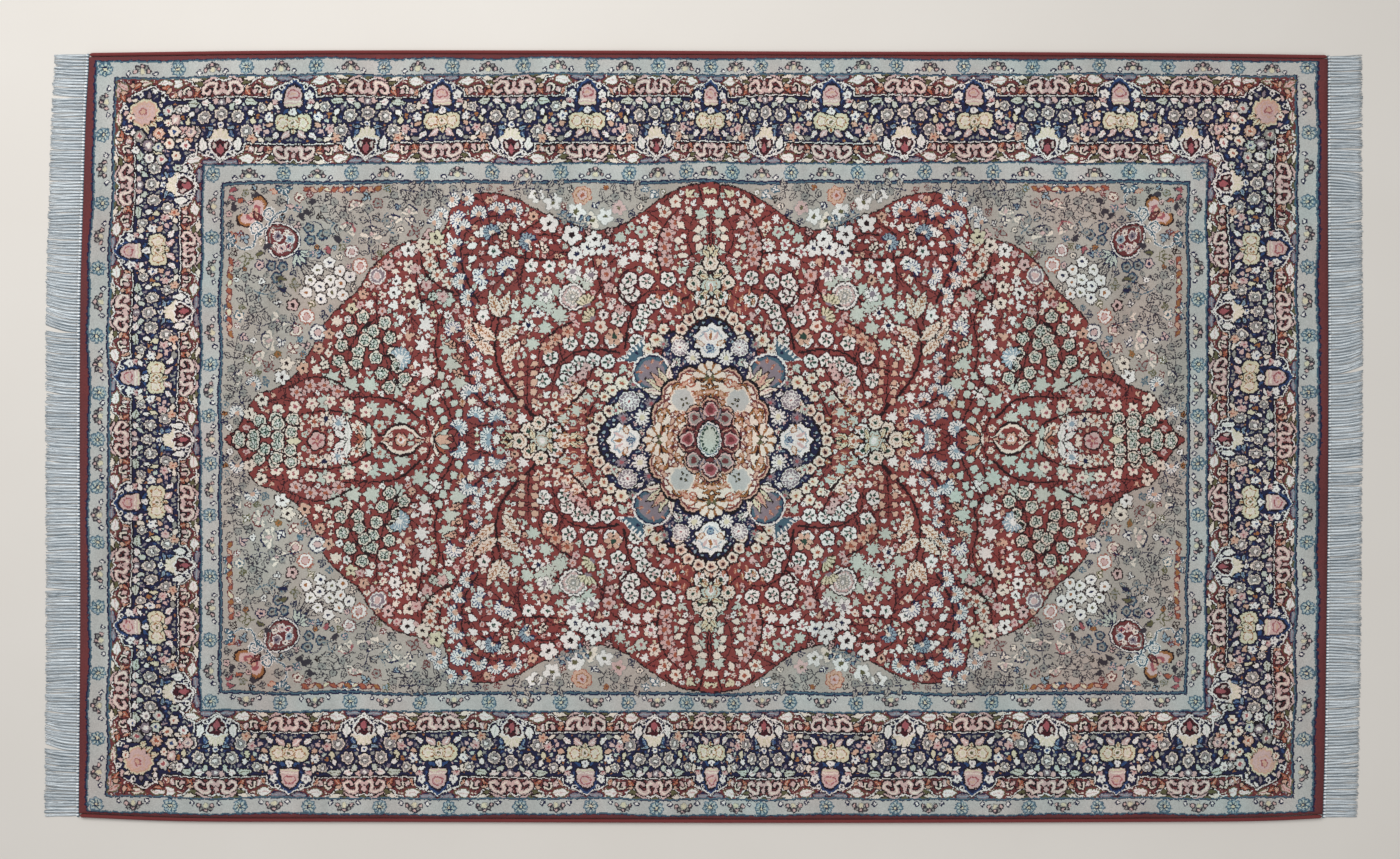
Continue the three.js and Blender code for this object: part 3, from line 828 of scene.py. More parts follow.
def spandrel():
    """One corner of the field, from the shield outwards."""
    # The shield with its crest, standing on the diagonal and pointing to the corner.
    at = x, y, turn = 836, 389, 43
    shield = mirrored([(38, 0), (26, 16), (10, 27), (-10, 30), (-24, 24), (-32, 12), (-34, 0)])
    for scale, colour in ((1.14, NAVY), (1.08, IVORY), (1.0, BARK), (0.93, BROWN)):
        quarter.area(turned(*at, shield, scale), colour)
    for side in (-1, 1):
        quarter.scroll(*spot(*at, -10, 14 * side), 10, turn, 1.6, PINK, winds=1.3, way=side)
        quarter.stroke(
            turned(*at, [(-28, 2 * side), (-4, 24 * side), (18, 14 * side), (30, 2 * side)]), 1.6, GREY,
        )
    for a, b, size, petal in ((-12, 12, 9, PALE_BLUE), (-12, -12, 9, PINK), (10, 0, 10, MAUVE),
                              (-20, 0, 7, ROSE), (2, 16, 6, CREAM), (2, -16, 6, CREAM), (24, 0, 5, PEACH)):
        quarter.rosette(
            *spot(*at, a, b), size, [(1.0, IVORY), (0.78, petal), (0.3, NAVY)], lobe=0.22, turn=turn,
        )
    crest = mirrored([(82, 0), (86, 10), (96, 20), (90, 32), (76, 32), (66, 24), (58, 12), (54, 0)])
    for scale, colour in ((1.1, BARK), (0.98, TAN), (0.8, PINK), (0.52, ROSE), (0.3, PEACH)):
        quarter.area(turned(*at, [(74 + (a - 74) * scale, b * scale) for a, b in crest]), colour)
    quarter.leaf(*spot(*at, 54), 24, 11, turn, BROWN, BARK, PEACH)
    for side in (-1, 1):
        quarter.scroll(
            *spot(*at, 52, 20 * side), 15, turn + 150 * side, 3.4, STEEL, winds=1.6, way=side, rim=IVORY,
        )
        line = turned(
            *at, [(38, 4 * side), (42, 26 * side), (34, 48 * side), (50, 68 * side), (72, 64 * side)],
        )
        quarter.stroke(line, 6.5, IVORY, tip=0.7)
        quarter.stroke(line, 3.6, STEEL, tip=0.7)
        quarter.leaf(*spot(*at, 70, 60 * side), 14, 8, turn - 20 * side, PEACH, RUST)

    # Stems from the shield's foot to a posy of white blossoms.
    foot = spot(*at, -40)
    posy = [(764, 332), (742, 346), (722, 330), (740, 312), (760, 300), (720, 306), (736, 288), (758, 276),
            (716, 284), (778, 312), (702, 318), (786, 288)]
    for px, py in posy:
        quarter.stroke([foot, ((foot[0] + px) / 2 + 4, (foot[1] + py) / 2 - 4), (px, py)], 1.6, CHARCOAL)
    for k, place in enumerate(posy):
        pale_flower(quarter, *place, 13.5, 20 * k, IVORY, BARK, (OLIVE, NAVY, TAN)[k % 3])
    for k in range(5):
        quarter.leaf(*foot, 26, 7, 165 + 28 * k, CELADON, NAVY)
    for place in ((783, 412), (780, 389), (757, 399), (854, 340), (831, 337), (842, 317)):
        quarter.rosette(*place, 11, [(1.05, NAVY), (0.85, STEEL), (0.62, GREY), (0.3, CHARCOAL)], lobe=0.25)
    for line in (
        [(758, 386), (752, 402), (762, 420), (782, 426)], [(868, 352), (850, 346), (834, 350), (820, 340)],
    ):
        quarter.stroke(line, 2, NAVY)

    # Wide pale palmettes with navy crescents, along both sides of the garden's edge.
    for px, py, size, way, arc in (
        (664, 392, 22, 100, NAVY), (618, 420, 18, 60, NAVY), (850, 196, 22, -10, NAVY),
        (872, 156, 18, 20, BROWN), (712, 404, 18, 120, ROSE), (834, 238, 18, -40, GREY),
        (590, 440, 16, 90, NAVY), (690, 452, 15, 70, BROWN), (912, 120, 16, 10, NAVY),
    ):
        pale_palmette(quarter, px, py, size, way, arc)
    for px, py, size, petal, rim in ((682, 338, 16, IVORY, RUST), (786, 240, 16, IVORY, RUST),
                                     (648, 318, 17, MAUVE, IVORY), (764, 208, 18, IVORY, NAVY),
                                     (700, 366, 14, IVORY, BROWN), (806, 214, 14, CREAM, BROWN)):
        quarter.rosette(px, py, size, [(1.06, GREY), (1.0, rim), (0.84, petal), (0.5, rim), (0.4, PINK)],
                        petals=9, lobe=0.16)

    # Vines towards both sides and the corner.
    for line, stem in (
        ([(700, 452), (740, 458), (786, 452)], CHARCOAL),
        ([(520, 472), (560, 472), (600, 468), (640, 474)], CHARCOAL),
        ([(600, 486), (570, 484), (540, 488)], NAVY),
        ([(660, 352), (668, 384), (664, 420), (674, 452)], NAVY),
        ([(896, 262), (902, 300), (892, 336)], CHARCOAL),
        ([(926, 84), (924, 120), (928, 160), (920, 204)], CHARCOAL),
        ([(800, 222), (838, 232), (872, 224), (904, 236)], NAVY),
        ([(726, 430), (740, 414), (744, 392)], STEEL),
        ([(884, 294), (866, 286), (844, 290), (820, 300)], STEEL),
        ([(470, 486), (500, 482), (530, 470)], NAVY), ([(690, 420), (712, 428), (730, 446)], CHARCOAL),
        ([(858, 262), (880, 250), (900, 250)], CHARCOAL), ([(904, 60), (914, 84), (908, 110)], NAVY),
        ([(620, 400), (640, 424), (632, 446)], STEEL),
    ):
        vine(line, stem=stem)
    for px, py, turn, fill in (
        (922, 470, 200, RUST), (938, 479, 230, ROSE), (896, 479, 190, CHARCOAL), (940, 490, 180, ROSE),
        (929, 448, 80, CHARCOAL), (814, 451, 20, PINK), (783, 464, 170, CHARCOAL),
        (802, 440, 230, CHARCOAL), (792, 446, 200, CHARCOAL), (747, 376, 250, ROSE), (930, 384, 70, TAN),
        (824, 291, 20, NAVY), (838, 318, 200, OLIVE), (870, 374, 160, CHARCOAL), (884, 362, 170, OLIVE),
        (724, 384, 60, CHARCOAL),
    ):
        quarter.leaf(px, py, 15, 7, turn, fill, CHARCOAL)
        quarter.leaf(px, py, 9, 3.6, turn + 70, fill)
    for px, py, way in ((834, 494, -90), (944, 389, 180), (700, 496, -90), (945, 250, 180)):
        quarter.fan(px, py, 17, way, STEEL, NAVY, IVORY, rays=5, spread=90, heart=GREY)
    for k in range(11):
        for px, py, way in ((794 - 14 * k, 486 + 5 * (k % 2), 150 + 60 * (k % 2)),
                            (937 - 6 * (k % 2), 354 - 14 * k, 240 + 60 * (k % 2))):
            quarter.leaf(px, py, 14, 7, way, (RUST, PEACH, TAN, STRAW)[k % 4], BROWN)
    for px, py, way in (
        (507, 468, 200), (478, 470, 170), (528, 440, 100), (920, 50, 90), (888, 108, 120), (540, 424, 130),
    ):
        fan_daisy(quarter, px, py, way, 15, IVORY, NAVY, STEEL)

    # The pale bay between the two lobes on each long side.
    for px, py, size, petal in ((340, 478, 16, IVORY), (306, 462, 17, IVORY), (262, 442, 18, IVORY),
                                (232, 424, 17, CREAM), (206, 432, 16, IVORY), (180, 450, 15, PINK)):
        small_blossom(quarter, px, py, size, px, petal, GREY, OLIVE)
    quarter.rosette(
        250, 474, 20, [(1.0, RUST), (0.9, PEACH), (0.6, TAN), (0.5, PINK), (0.2, RUST)], petals=7, lobe=0.2,
    )
    vine([(392, 486), (360, 490), (320, 486), (286, 490)], stem=NAVY)
    vine([(216, 458), (196, 474), (170, 484), (140, 488)])
    vine([(300, 440), (270, 422), (240, 418)], 14, STEEL, PALE_BLUE, NAVY, 10)


def pale_scrap(chart, x, y, room, pick, turn):
    """A small outlined leaf, forked sprig or bud on the pale ground."""
    fill = (IVORY, PUTTY, PINK, GREY, GREY, PALE_BLUE, CREAM, TAN)[pick % 8]
    rim = (CHARCOAL, NAVY, CHARCOAL, OLIVE, BARK, BROWN, STEEL)[pick % 7]
    if pick % 3 == 0:
        chart.rosette(x, y, room, [(1.0, rim), (0.76, fill), (0.3, rim)], lobe=0.3, turn=turn)
    else:
        chart.stroke(turned(x, y, turn, [(-1.2, 0), (0.4, 0)], room), 2, rim)
        chart.leaf(x, y, room, room * 0.56, turn, fill, rim)
        for side in (-60, 60):
            chart.leaf(*spot(x, y, turn, -room * 0.5), room * 0.9, room * 0.46, turn + side, fill, rim)


spandrel()
print("spandrel drawn")

# %% [markdown]
# ### The garden
# Dark boughs wander over the red from the medallion, from a vase at either end and from a tree between
# them. Blossoms, pointed leaves and drops stand along them at even steps, left and right in turn. A motif
# on a bough is called with the chart, a place and a turn only. Each of the small functions whose name ends
# in _of sets a motif's other values and gives back such a function.

# %% Garden motifs
def toothed_leaf(x, y, turn, length=54, width=26, fill=CREAM):
    """A large leaf with a cut edge and side veins, shorter towards its foot and tip."""
    quarter.leaf(x, y, length, width, turn, fill, BARK, TAN, teeth=5)
    for share in (0.2, 0.36, 0.52, 0.68):
        start = spot(x, y, turn, length * share)
        reach = width * 0.42 * np.sin(np.pi * share**0.75)
        for side in (-38, 38):
            quarter.stroke([start, spot(*start, turn + side, reach)], 1.5, TAN)


def drop_of(length, width, fill):
    return lambda chart, x, y, turn: chart.leaf(x, y, length, width, turn, fill, DARK_MADDER, belly=1.25)


def fan_of(size):
    return lambda chart, x, y, turn: fan_daisy(chart, x, y, turn, size, IVORY, NAVY)


def sprig_of(fill, length=26):
    return lambda chart, x, y, turn: sprig(chart, x, y, length, turn, fill, BARK)


def maple_of(fill, size):
    return lambda chart, x, y, turn: maple(chart, x, y, size, turn, fill)


def bloom(chart, x, y, turn):
    blossom(chart, x, y, 15, turn, IVORY, DARK_MADDER, GREEN, PINK)


def bud_of(petal, size, heart=BARK):
    return lambda chart, x, y, turn: small_blossom(chart, x, y, size, turn, petal, DARK_MADDER, heart)


def star_of(petal, size, heart=RUST):
    return lambda chart, x, y, turn: daisy(chart, x, y, size, turn, petal, BARK, heart, petals=6)


def green_bloom(chart, x, y, turn):
    """A small ivory blossom ringed and dotted in green."""
    rings = [(1.2, BARK), (0.96, CREAM), (0.7, GREEN), (0.6, CELADON), (0.3, IVORY)]
    chart.rosette(x, y, 13, rings, lobe=0.2, turn=turn)
    chart.rosette(x, y, 13, [], turn=turn + 36, star=(GREEN, 0.75))


# A bough is its line, the motifs that take turns on it, their step, how far off it they stand, its width.
BOUGHS = [
    ([(168, 178), (160, 220), (148, 258), (118, 286), (70, 292)], [bloom], 36, 21, 5),
    ([(150, 256), (176, 284), (172, 318), (140, 336)], [bloom, bud_of(PINK, 10)], 34, 18, 4),
    ([(178, 170), (222, 176), (266, 168), (298, 140), (306, 96)], [bloom], 36, 21, 5),
    ([(226, 146), (238, 118), (262, 98), (272, 70)],
     [bud_of(PINK, 10), bud_of(CREAM, 9, ROSE)], 22, 13, 3.5),
    ([(332, 34), (350, 56), (384, 92), (410, 136), (418, 190), (410, 236)],
     [star_of(CREAM, 10), maple_of(IVORY, 11)], 52, 19, 7),
    ([(504, 80), (524, 128), (534, 176), (526, 226), (540, 270)],
     [maple_of(CELADON, 16), maple_of(IVORY, 14)], 42, 24, 5),
    ([(566, 42), (604, 74), (648, 84), (700, 82), (742, 96)],
     [maple_of(CELADON, 16), maple_of(CELADON, 15)], 42, 22, 5),
    ([(604, 100), (628, 150), (640, 196), (656, 236)], [green_bloom], 29, 17, 3.5),
    ([(656, 236), (682, 214), (700, 178), (704, 136)], [green_bloom], 29, 17, 3.5),
    ([(662, 30), (700, 48), (748, 56), (800, 50), (850, 40)],
     [bud_of(CREAM, 12, ROSE), star_of(CREAM, 13)], 33, 17, 4),
    ([(800, 30), (832, 34), (868, 30), (902, 16)], [green_bloom, bud_of(IVORY, 11, NAVY)], 30, 10, 3),
    ([(700, 96), (742, 118), (784, 118), (826, 100)],
     [sprig_of(CREAM, 30), star_of(PINK, 13)], 34, 15, 4.5),
    ([(560, 250), (566, 284), (572, 318), (568, 352)],
     [sprig_of(CELADON, 32), bud_of(CREAM, 13)], 34, 15, 4.5),
    ([(500, 286), (530, 300), (556, 330), (560, 366), (536, 392)],
     [star_of(CREAM, 13), bud_of(PINK, 11, ROSE)], 32, 15, 4),
    ([(452, 268), (470, 300), (484, 344), (480, 390), (456, 424), (410, 436), (362, 432)],
     [drop_of(20, 14, IVORY), fan_of(17)], 33, 12, 5),
    ([(300, 352), (340, 350), (384, 356), (420, 382), (424, 408)],
     [sprig_of(CREAM), bud_of(IVORY, 13, GREEN)], 34, 13, 4.5),
    ([(284, 360), (262, 378), (232, 386), (196, 382)],
     [bud_of(IVORY, 17, NAVY), sprig_of(PINK, 20)], 34, 12, 4.5),
    ([(96, 330), (104, 362), (100, 396), (84, 428), (60, 452)],
     [star_of(PINK, 15), star_of(CREAM, 13)], 32, 15, 5),
    ([(104, 360), (140, 368), (170, 360), (196, 340)],
     [star_of(IVORY, 12, ROSE), maple_of(IVORY, 11)], 30, 12, 3.5),
    ([(2, 250), (3, 300), (2, 350), (3, 400), (2, 450)],
     [sprig_of(CREAM, 24), maple_of(CELADON, 12)], 34, 14, 4),
    ([(30, 352), (44, 384), (40, 416), (24, 440)], [drop_of(20, 13, CREAM)], 24, 8, 3),
    ([(278, 300), (300, 270), (340, 262), (366, 230)],
     [maple_of(CELADON, 13), star_of(IVORY, 13, NAVY)], 34, 14, 4.5),
    ([(420, 60), (452, 84), (470, 120), (466, 156), (480, 190)],
     [fan_of(13), sprig_of(PEACH, 24)], 34, 12, 4),
    ([(462, 196), (452, 226), (462, 252)], [bud_of(IVORY, 13, GREEN), star_of(CREAM, 10)], 28, 14, 4),
    ([(240, 100), (272, 66), (304, 46)], [bud_of(CREAM, 11, RUST), maple_of(CELADON, 11)], 28, 14, 6),
    ([(270, 230), (300, 214), (330, 186), (336, 150)],
     [maple_of(CELADON, 13), star_of(PEACH, 13)], 32, 14, 4),
    ([(352, 60), (354, 90), (355, 120), (355, 156)], [drop_of(15, 13, PEACH)], 18, 6, 3.5),
    ([(498, 30), (512, 62), (530, 92), (544, 130)], [drop_of(19, 15, CELADON)], 21, 7, 4),
]


def twigs(count, seed):
    """Fine dark twigs on the red only: each bends evenly along its length and forks twice."""
    before = quarter.knots.copy()
    rng = np.random.default_rng(seed)
    for number in range(count):
        x, y = rng.uniform((0, 0), (FIELD_END, FIELD_SIDE))
        turn, bend = rng.uniform(0, 360), rng.uniform(-40, 40)
        reach = rng.uniform(50, 110)
        line = [spot(x, y, turn + bend * share, reach * share) for share in (0, 0.33, 0.66, 1)]
        quarter.stroke(line, 3.4, BARK, tip=0.4)
        for k, side in ((1, 40), (2, -40)):
            quarter.stroke([line[k], spot(*line[k], turn + side + bend, reach * 0.3)], 2, DARK_MADDER)
    elsewhere = before != MADDER
    quarter.knots[elsewhere] = before[elsewhere]


def garden():
    """The twigs, the boughs and then the large motifs that stand by themselves."""
    twigs(110, 5)
    for line, motifs, step, off, width in BOUGHS:
        bough(quarter, line, motifs, step, off, width)

    # The tree's long toothed leaves.
    for x, y, turn in (
        (412, 238, 112), (410, 240, 66), (418, 196, 38), (414, 196, 148), (404, 150, 128), (420, 168, 40),
    ):
        toothed_leaf(x, y, turn)
    toothed_leaf(484, 64, 100, 40, 17, PEACH)
    toothed_leaf(448, 196, 40, 34, 14)

    # White and blue fan daisies beside the middle line, and blue ones in the upper lobe.
    for x, y, turn in ((490, 22, 140), (455, 46, 110), (414, 42, 80), (470, 92, 60), (430, 6, 0)):
        fan_daisy(quarter, x, y, turn, 18, IVORY, NAVY, STEEL, PALE_BLUE)
    for x, y, turn, ray in (
        (402, 332, 60, BLUE), (356, 384, 30, NAVY), (446, 316, -20, BLUE), (492, 430, 30, BLUE),
        (424, 402, 60, NAVY), (498, 214, 60, BLUE),
    ):
        fan_daisy(quarter, x, y, turn, 17, IVORY if ray == BLUE else PALE_BLUE, NAVY, ray, CREAM)

    # A large grey rose with round leaves beside it.
    for x, y in ((312, 258), (292, 244), (240, 306), (262, 318), (326, 270)):
        maple(quarter, x, y, 15, 40)
    quarter.rosette(
        267, 280, 27,
        [
            (1.1, BARK), (1.0, IVORY), (0.84, CHARCOAL), (0.78, PINK), (0.62, IVORY), (0.5, GREY),
            (0.42, CREAM), (0.24, MAUVE), (0.14, IVORY),
        ],
        petals=14, lobe=0.1,
    )
    quarter.rosette(267, 280, 26, [], petals=14, star=(GREY, 0.8))
    for x, y, size in ((268, 330, 18), (322, 284, 16), (232, 322, 15)):
        daisy(quarter, x, y, size, 0, IVORY, BARK, MAUVE, petals=7)
    for x, y, turn in ((226, 236, 40), (236, 262, 70)):
        quarter.fan(x, y, 24, turn, STRAW, BARK, OLIVE, rays=5, spread=60, heart=MAUVE)
    daisy(quarter, 188, 202, 18, 0, PEACH, BARK, GREEN, petals=6)
    fan_daisy(quarter, 604, 160, 150, 22, PALE_BLUE, BARK, IVORY, IVORY)

    # White flowers along the garden's edge.
    for x, y, size, petal in (
        (588, 370, 15, IVORY), (560, 380, 14, CREAM), (534, 396, 15, STRAW), (626, 340, 12, PINK),
        (822, 148, 14, CREAM), (832, 122, 14, IVORY), (790, 138, 12, PEACH), (314, 420, 18, IVORY),
        (272, 398, 19, IVORY), (228, 388, 16, IVORY), (700, 258, 11, STRAW), (676, 284, 10, PEACH),
        (742, 206, 11, PEACH), (760, 176, 11, PEACH), (872, 78, 13, CREAM), (896, 50, 12, CREAM),
    ):
        small_blossom(quarter, x, y, size, x, petal, BARK, BARK)

    # The vase on the middle line, its neck towards the medallion and its foot towards the end.
    vase = mirrored([(-62, 0), (-64, 13), (-56, 11), (-50, 5), (-34, 7), (-20, 22), (0, 29), (20, 22),
                     (34, 7), (42, 5), (50, 9), (62, 26), (56, 8), (60, 0)])
    for scale, colour in ((1.2, BARK), (1.0, CREAM), (0.78, MADDER)):
        quarter.area(turned(600, 0, 0, [(a * (scale + 1) / 2, b * scale) for a, b in vase]), colour)
    quarter.rosette(
        600, 0, 15, [(1.0, BARK), (0.85, PEACH), (0.5, IVORY), (0.25, RUST)], petals=6, lobe=0.25,
    )
    for x in (574, 624):
        quarter.leaf(x, 0, 12, 7, 0 if x > 600 else 180, PEACH, BARK)
    for k in range(4):
        quarter.leaf(536, 2, 34, 10, 100 + 24 * k, (CREAM, RUST, CELADON, PEACH)[k], BARK)
        quarter.leaf(662, 2, 28, 10, 10 + 26 * k, (RUST, PEACH, CREAM, CELADON)[k], BARK)

    # Beyond the vase: a rose, a lily and the last flowers before the tip.
    blossom(quarter, 764, 0, 17, 0, PINK, BARK, ROSE, PEACH)
    for side in (30, -30, 80):
        quarter.leaf(700, 0, 38, 13, side, IVORY, BARK, CELADON)
    daisy(quarter, 722, 32, 15, 0, IVORY, NAVY, PALE_BLUE)
    daisy(quarter, 748, 40, 15, 0, CREAM, BARK, NAVY, petals=7)
    for x, y in ((842, 8), (868, 18), (816, 18), (842, 34), (890, 8), (918, 4)):
        green_bloom(quarter, x, y, 0)
    quarter.leaf(796, 0, 30, 14, 0, STRAW, BARK, OLIVE)

    # The bouquets either side of the medallion, on both middle lines.
    for cx, cy, way in ((327, 0, 0), (0, 300, 90)):
        for a, b, size, petal, heart in (
            (0, 0, 21, CELADON, IVORY), (26, 20, 15, CREAM, GREEN), (-24, 19, 15, IVORY, GREEN),
            (4, 34, 14, CREAM, GREEN), (-42, 0, 15, CREAM, RUST), (44, 0, 16, CREAM, GREEN),
        ):
            rings = [(1.22, BARK), (0.98, petal), (0.62, TAN), (0.54, petal), (0.3, heart)]
            for side in (1, -1):
                quarter.rosette(*spot(cx, cy, way, a, b * side), size, rings, petals=7, lobe=0.18)
        for a, turn in ((60, 0), (56, 35), (-58, 180), (-54, 145), (16, 75), (-12, 105)):
            for side in (1, -1):
                quarter.leaf(*spot(cx, cy, way, a, 4 * side), 20, 9, way + turn * side, STRAW, BARK, TAN)


def red_scrap(chart, x, y, room, pick, turn):
    """A small flower, a forked sprig or a drop to fill a bare patch of red."""
    if pick % 5 < 2:
        petal = (CREAM, IVORY, PINK, PEACH, CELADON, IVORY)[pick % 6]
        heart = (ROSE, GREEN, RUST, BARK)[pick % 4]
        rings = [(1.16, DARK_MADDER), (0.98, petal), (0.34, heart)]
        chart.rosette(x, y, room * 1.1, rings, petals=5 + pick % 2, lobe=0.42, turn=turn)
    elif pick % 5 < 4:
        fill = (PEACH, CELADON, CREAM, IVORY, PINK, CELADON, STRAW, IVORY)[pick % 8]
        chart.stroke(turned(x, y, turn, [(-1.1, 0), (0.4, 0)], room), 1.6, BARK)
        chart.leaf(*spot(x, y, turn, -room * 0.2), room * 1.3, room * 0.7, turn, fill, DARK_MADDER)
        for side in (-48, 48):
            chart.leaf(*spot(x, y, turn, -room * 0.6), room * 1.1, room * 0.56, turn + side, fill)
    else:
        maple(chart, x, y, room * 0.9, turn, (CELADON, IVORY, CREAM)[pick % 3])


garden()
print(len(BOUGHS), "boughs in the garden")

# %% [markdown]
# ### The medallion
# In the middle lies a navy pool of lobes with palmettes, daisies and four fish, and on it a golden-peach
# oval of scrolls round a brown-red rosette. Where the navy meets the red the weaver has shaded it with
# rows of small flames.

# %% Medallion
def fish(*at):
    """A fish swimming inwards: a round body, a fan of five leaves at its head and a serrated tail."""
    turn = at[2]
    body = mirrored([(-54, 0), (-42, 10), (-28, 22), (-12, 31), (6, 33), (20, 25), (29, 13), (32, 0)])
    tail = mirrored([(30, 0), (42, 13), (56, 28), (62, 30), (60, 16), (62, 0)])
    for shape, fill, middle in ((tail, STEEL, 48), (body, MAUVE, -6)):
        for grow, colour in ((1.16, IVORY), (1.06, NAVY), (0.98, STEEL), (0.82, fill)):
            quarter.area(turned(*at, [(middle + (a - middle) * grow, b * grow) for a, b in shape]), colour)
    for side in range(27, -28, -9):
        quarter.leaf(*spot(*at, 52, side * 0.9), 13, 4.5, turn + side * 1.2, IVORY)
    for side, fill in ((-42, CREAM), (42, CREAM), (-17, STRAW), (17, STRAW), (0, PEACH)):
        quarter.leaf(*spot(*at, -50, side * 0.08), 50, 14, turn + side, fill, BARK, ROSE)
    for a, b in ((12, 12), (12, -12), (8, 0), (2, 23), (2, -23)):
        quarter.leaf(*spot(*at, a, b), 13, 6, turn + 4 * b, RUST, vein=PEACH)
    quarter.rosette(*spot(*at, 47, 4), 3.2, [(1.0, NAVY)], lobe=0)


def water_palmette(*at):
    """A lobed pale flower with three buds in it, between two small leaves."""
    turn = at[2]
    shape = mirrored([(-30, 0), (-26, 14), (-14, 20), (-10, 30), (2, 26), (10, 34), (18, 24), (28, 22),
                      (28, 10), (36, 0)])
    for scale, colour in ((1.12, BLACK), (1.0, IVORY), (0.74, PALE_BLUE), (0.66, IVORY)):
        quarter.area(turned(*at, shape, scale), colour)
    for side, fill in ((-28, PINK), (0, TAN), (28, PINK)):
        quarter.leaf(*spot(*at, 2, side * 0.2), 22, 6, turn + side, fill)
    quarter.rosette(*spot(*at, -12), 8, [(1.0, BLUE), (0.7, PALE_BLUE), (0.3, NAVY)], petals=6, lobe=0.2)
    for side in (-1, 1):
        quarter.leaf(*spot(*at, -6, 14 * side), 14, 7, turn + 60 * side, CREAM, TAN)


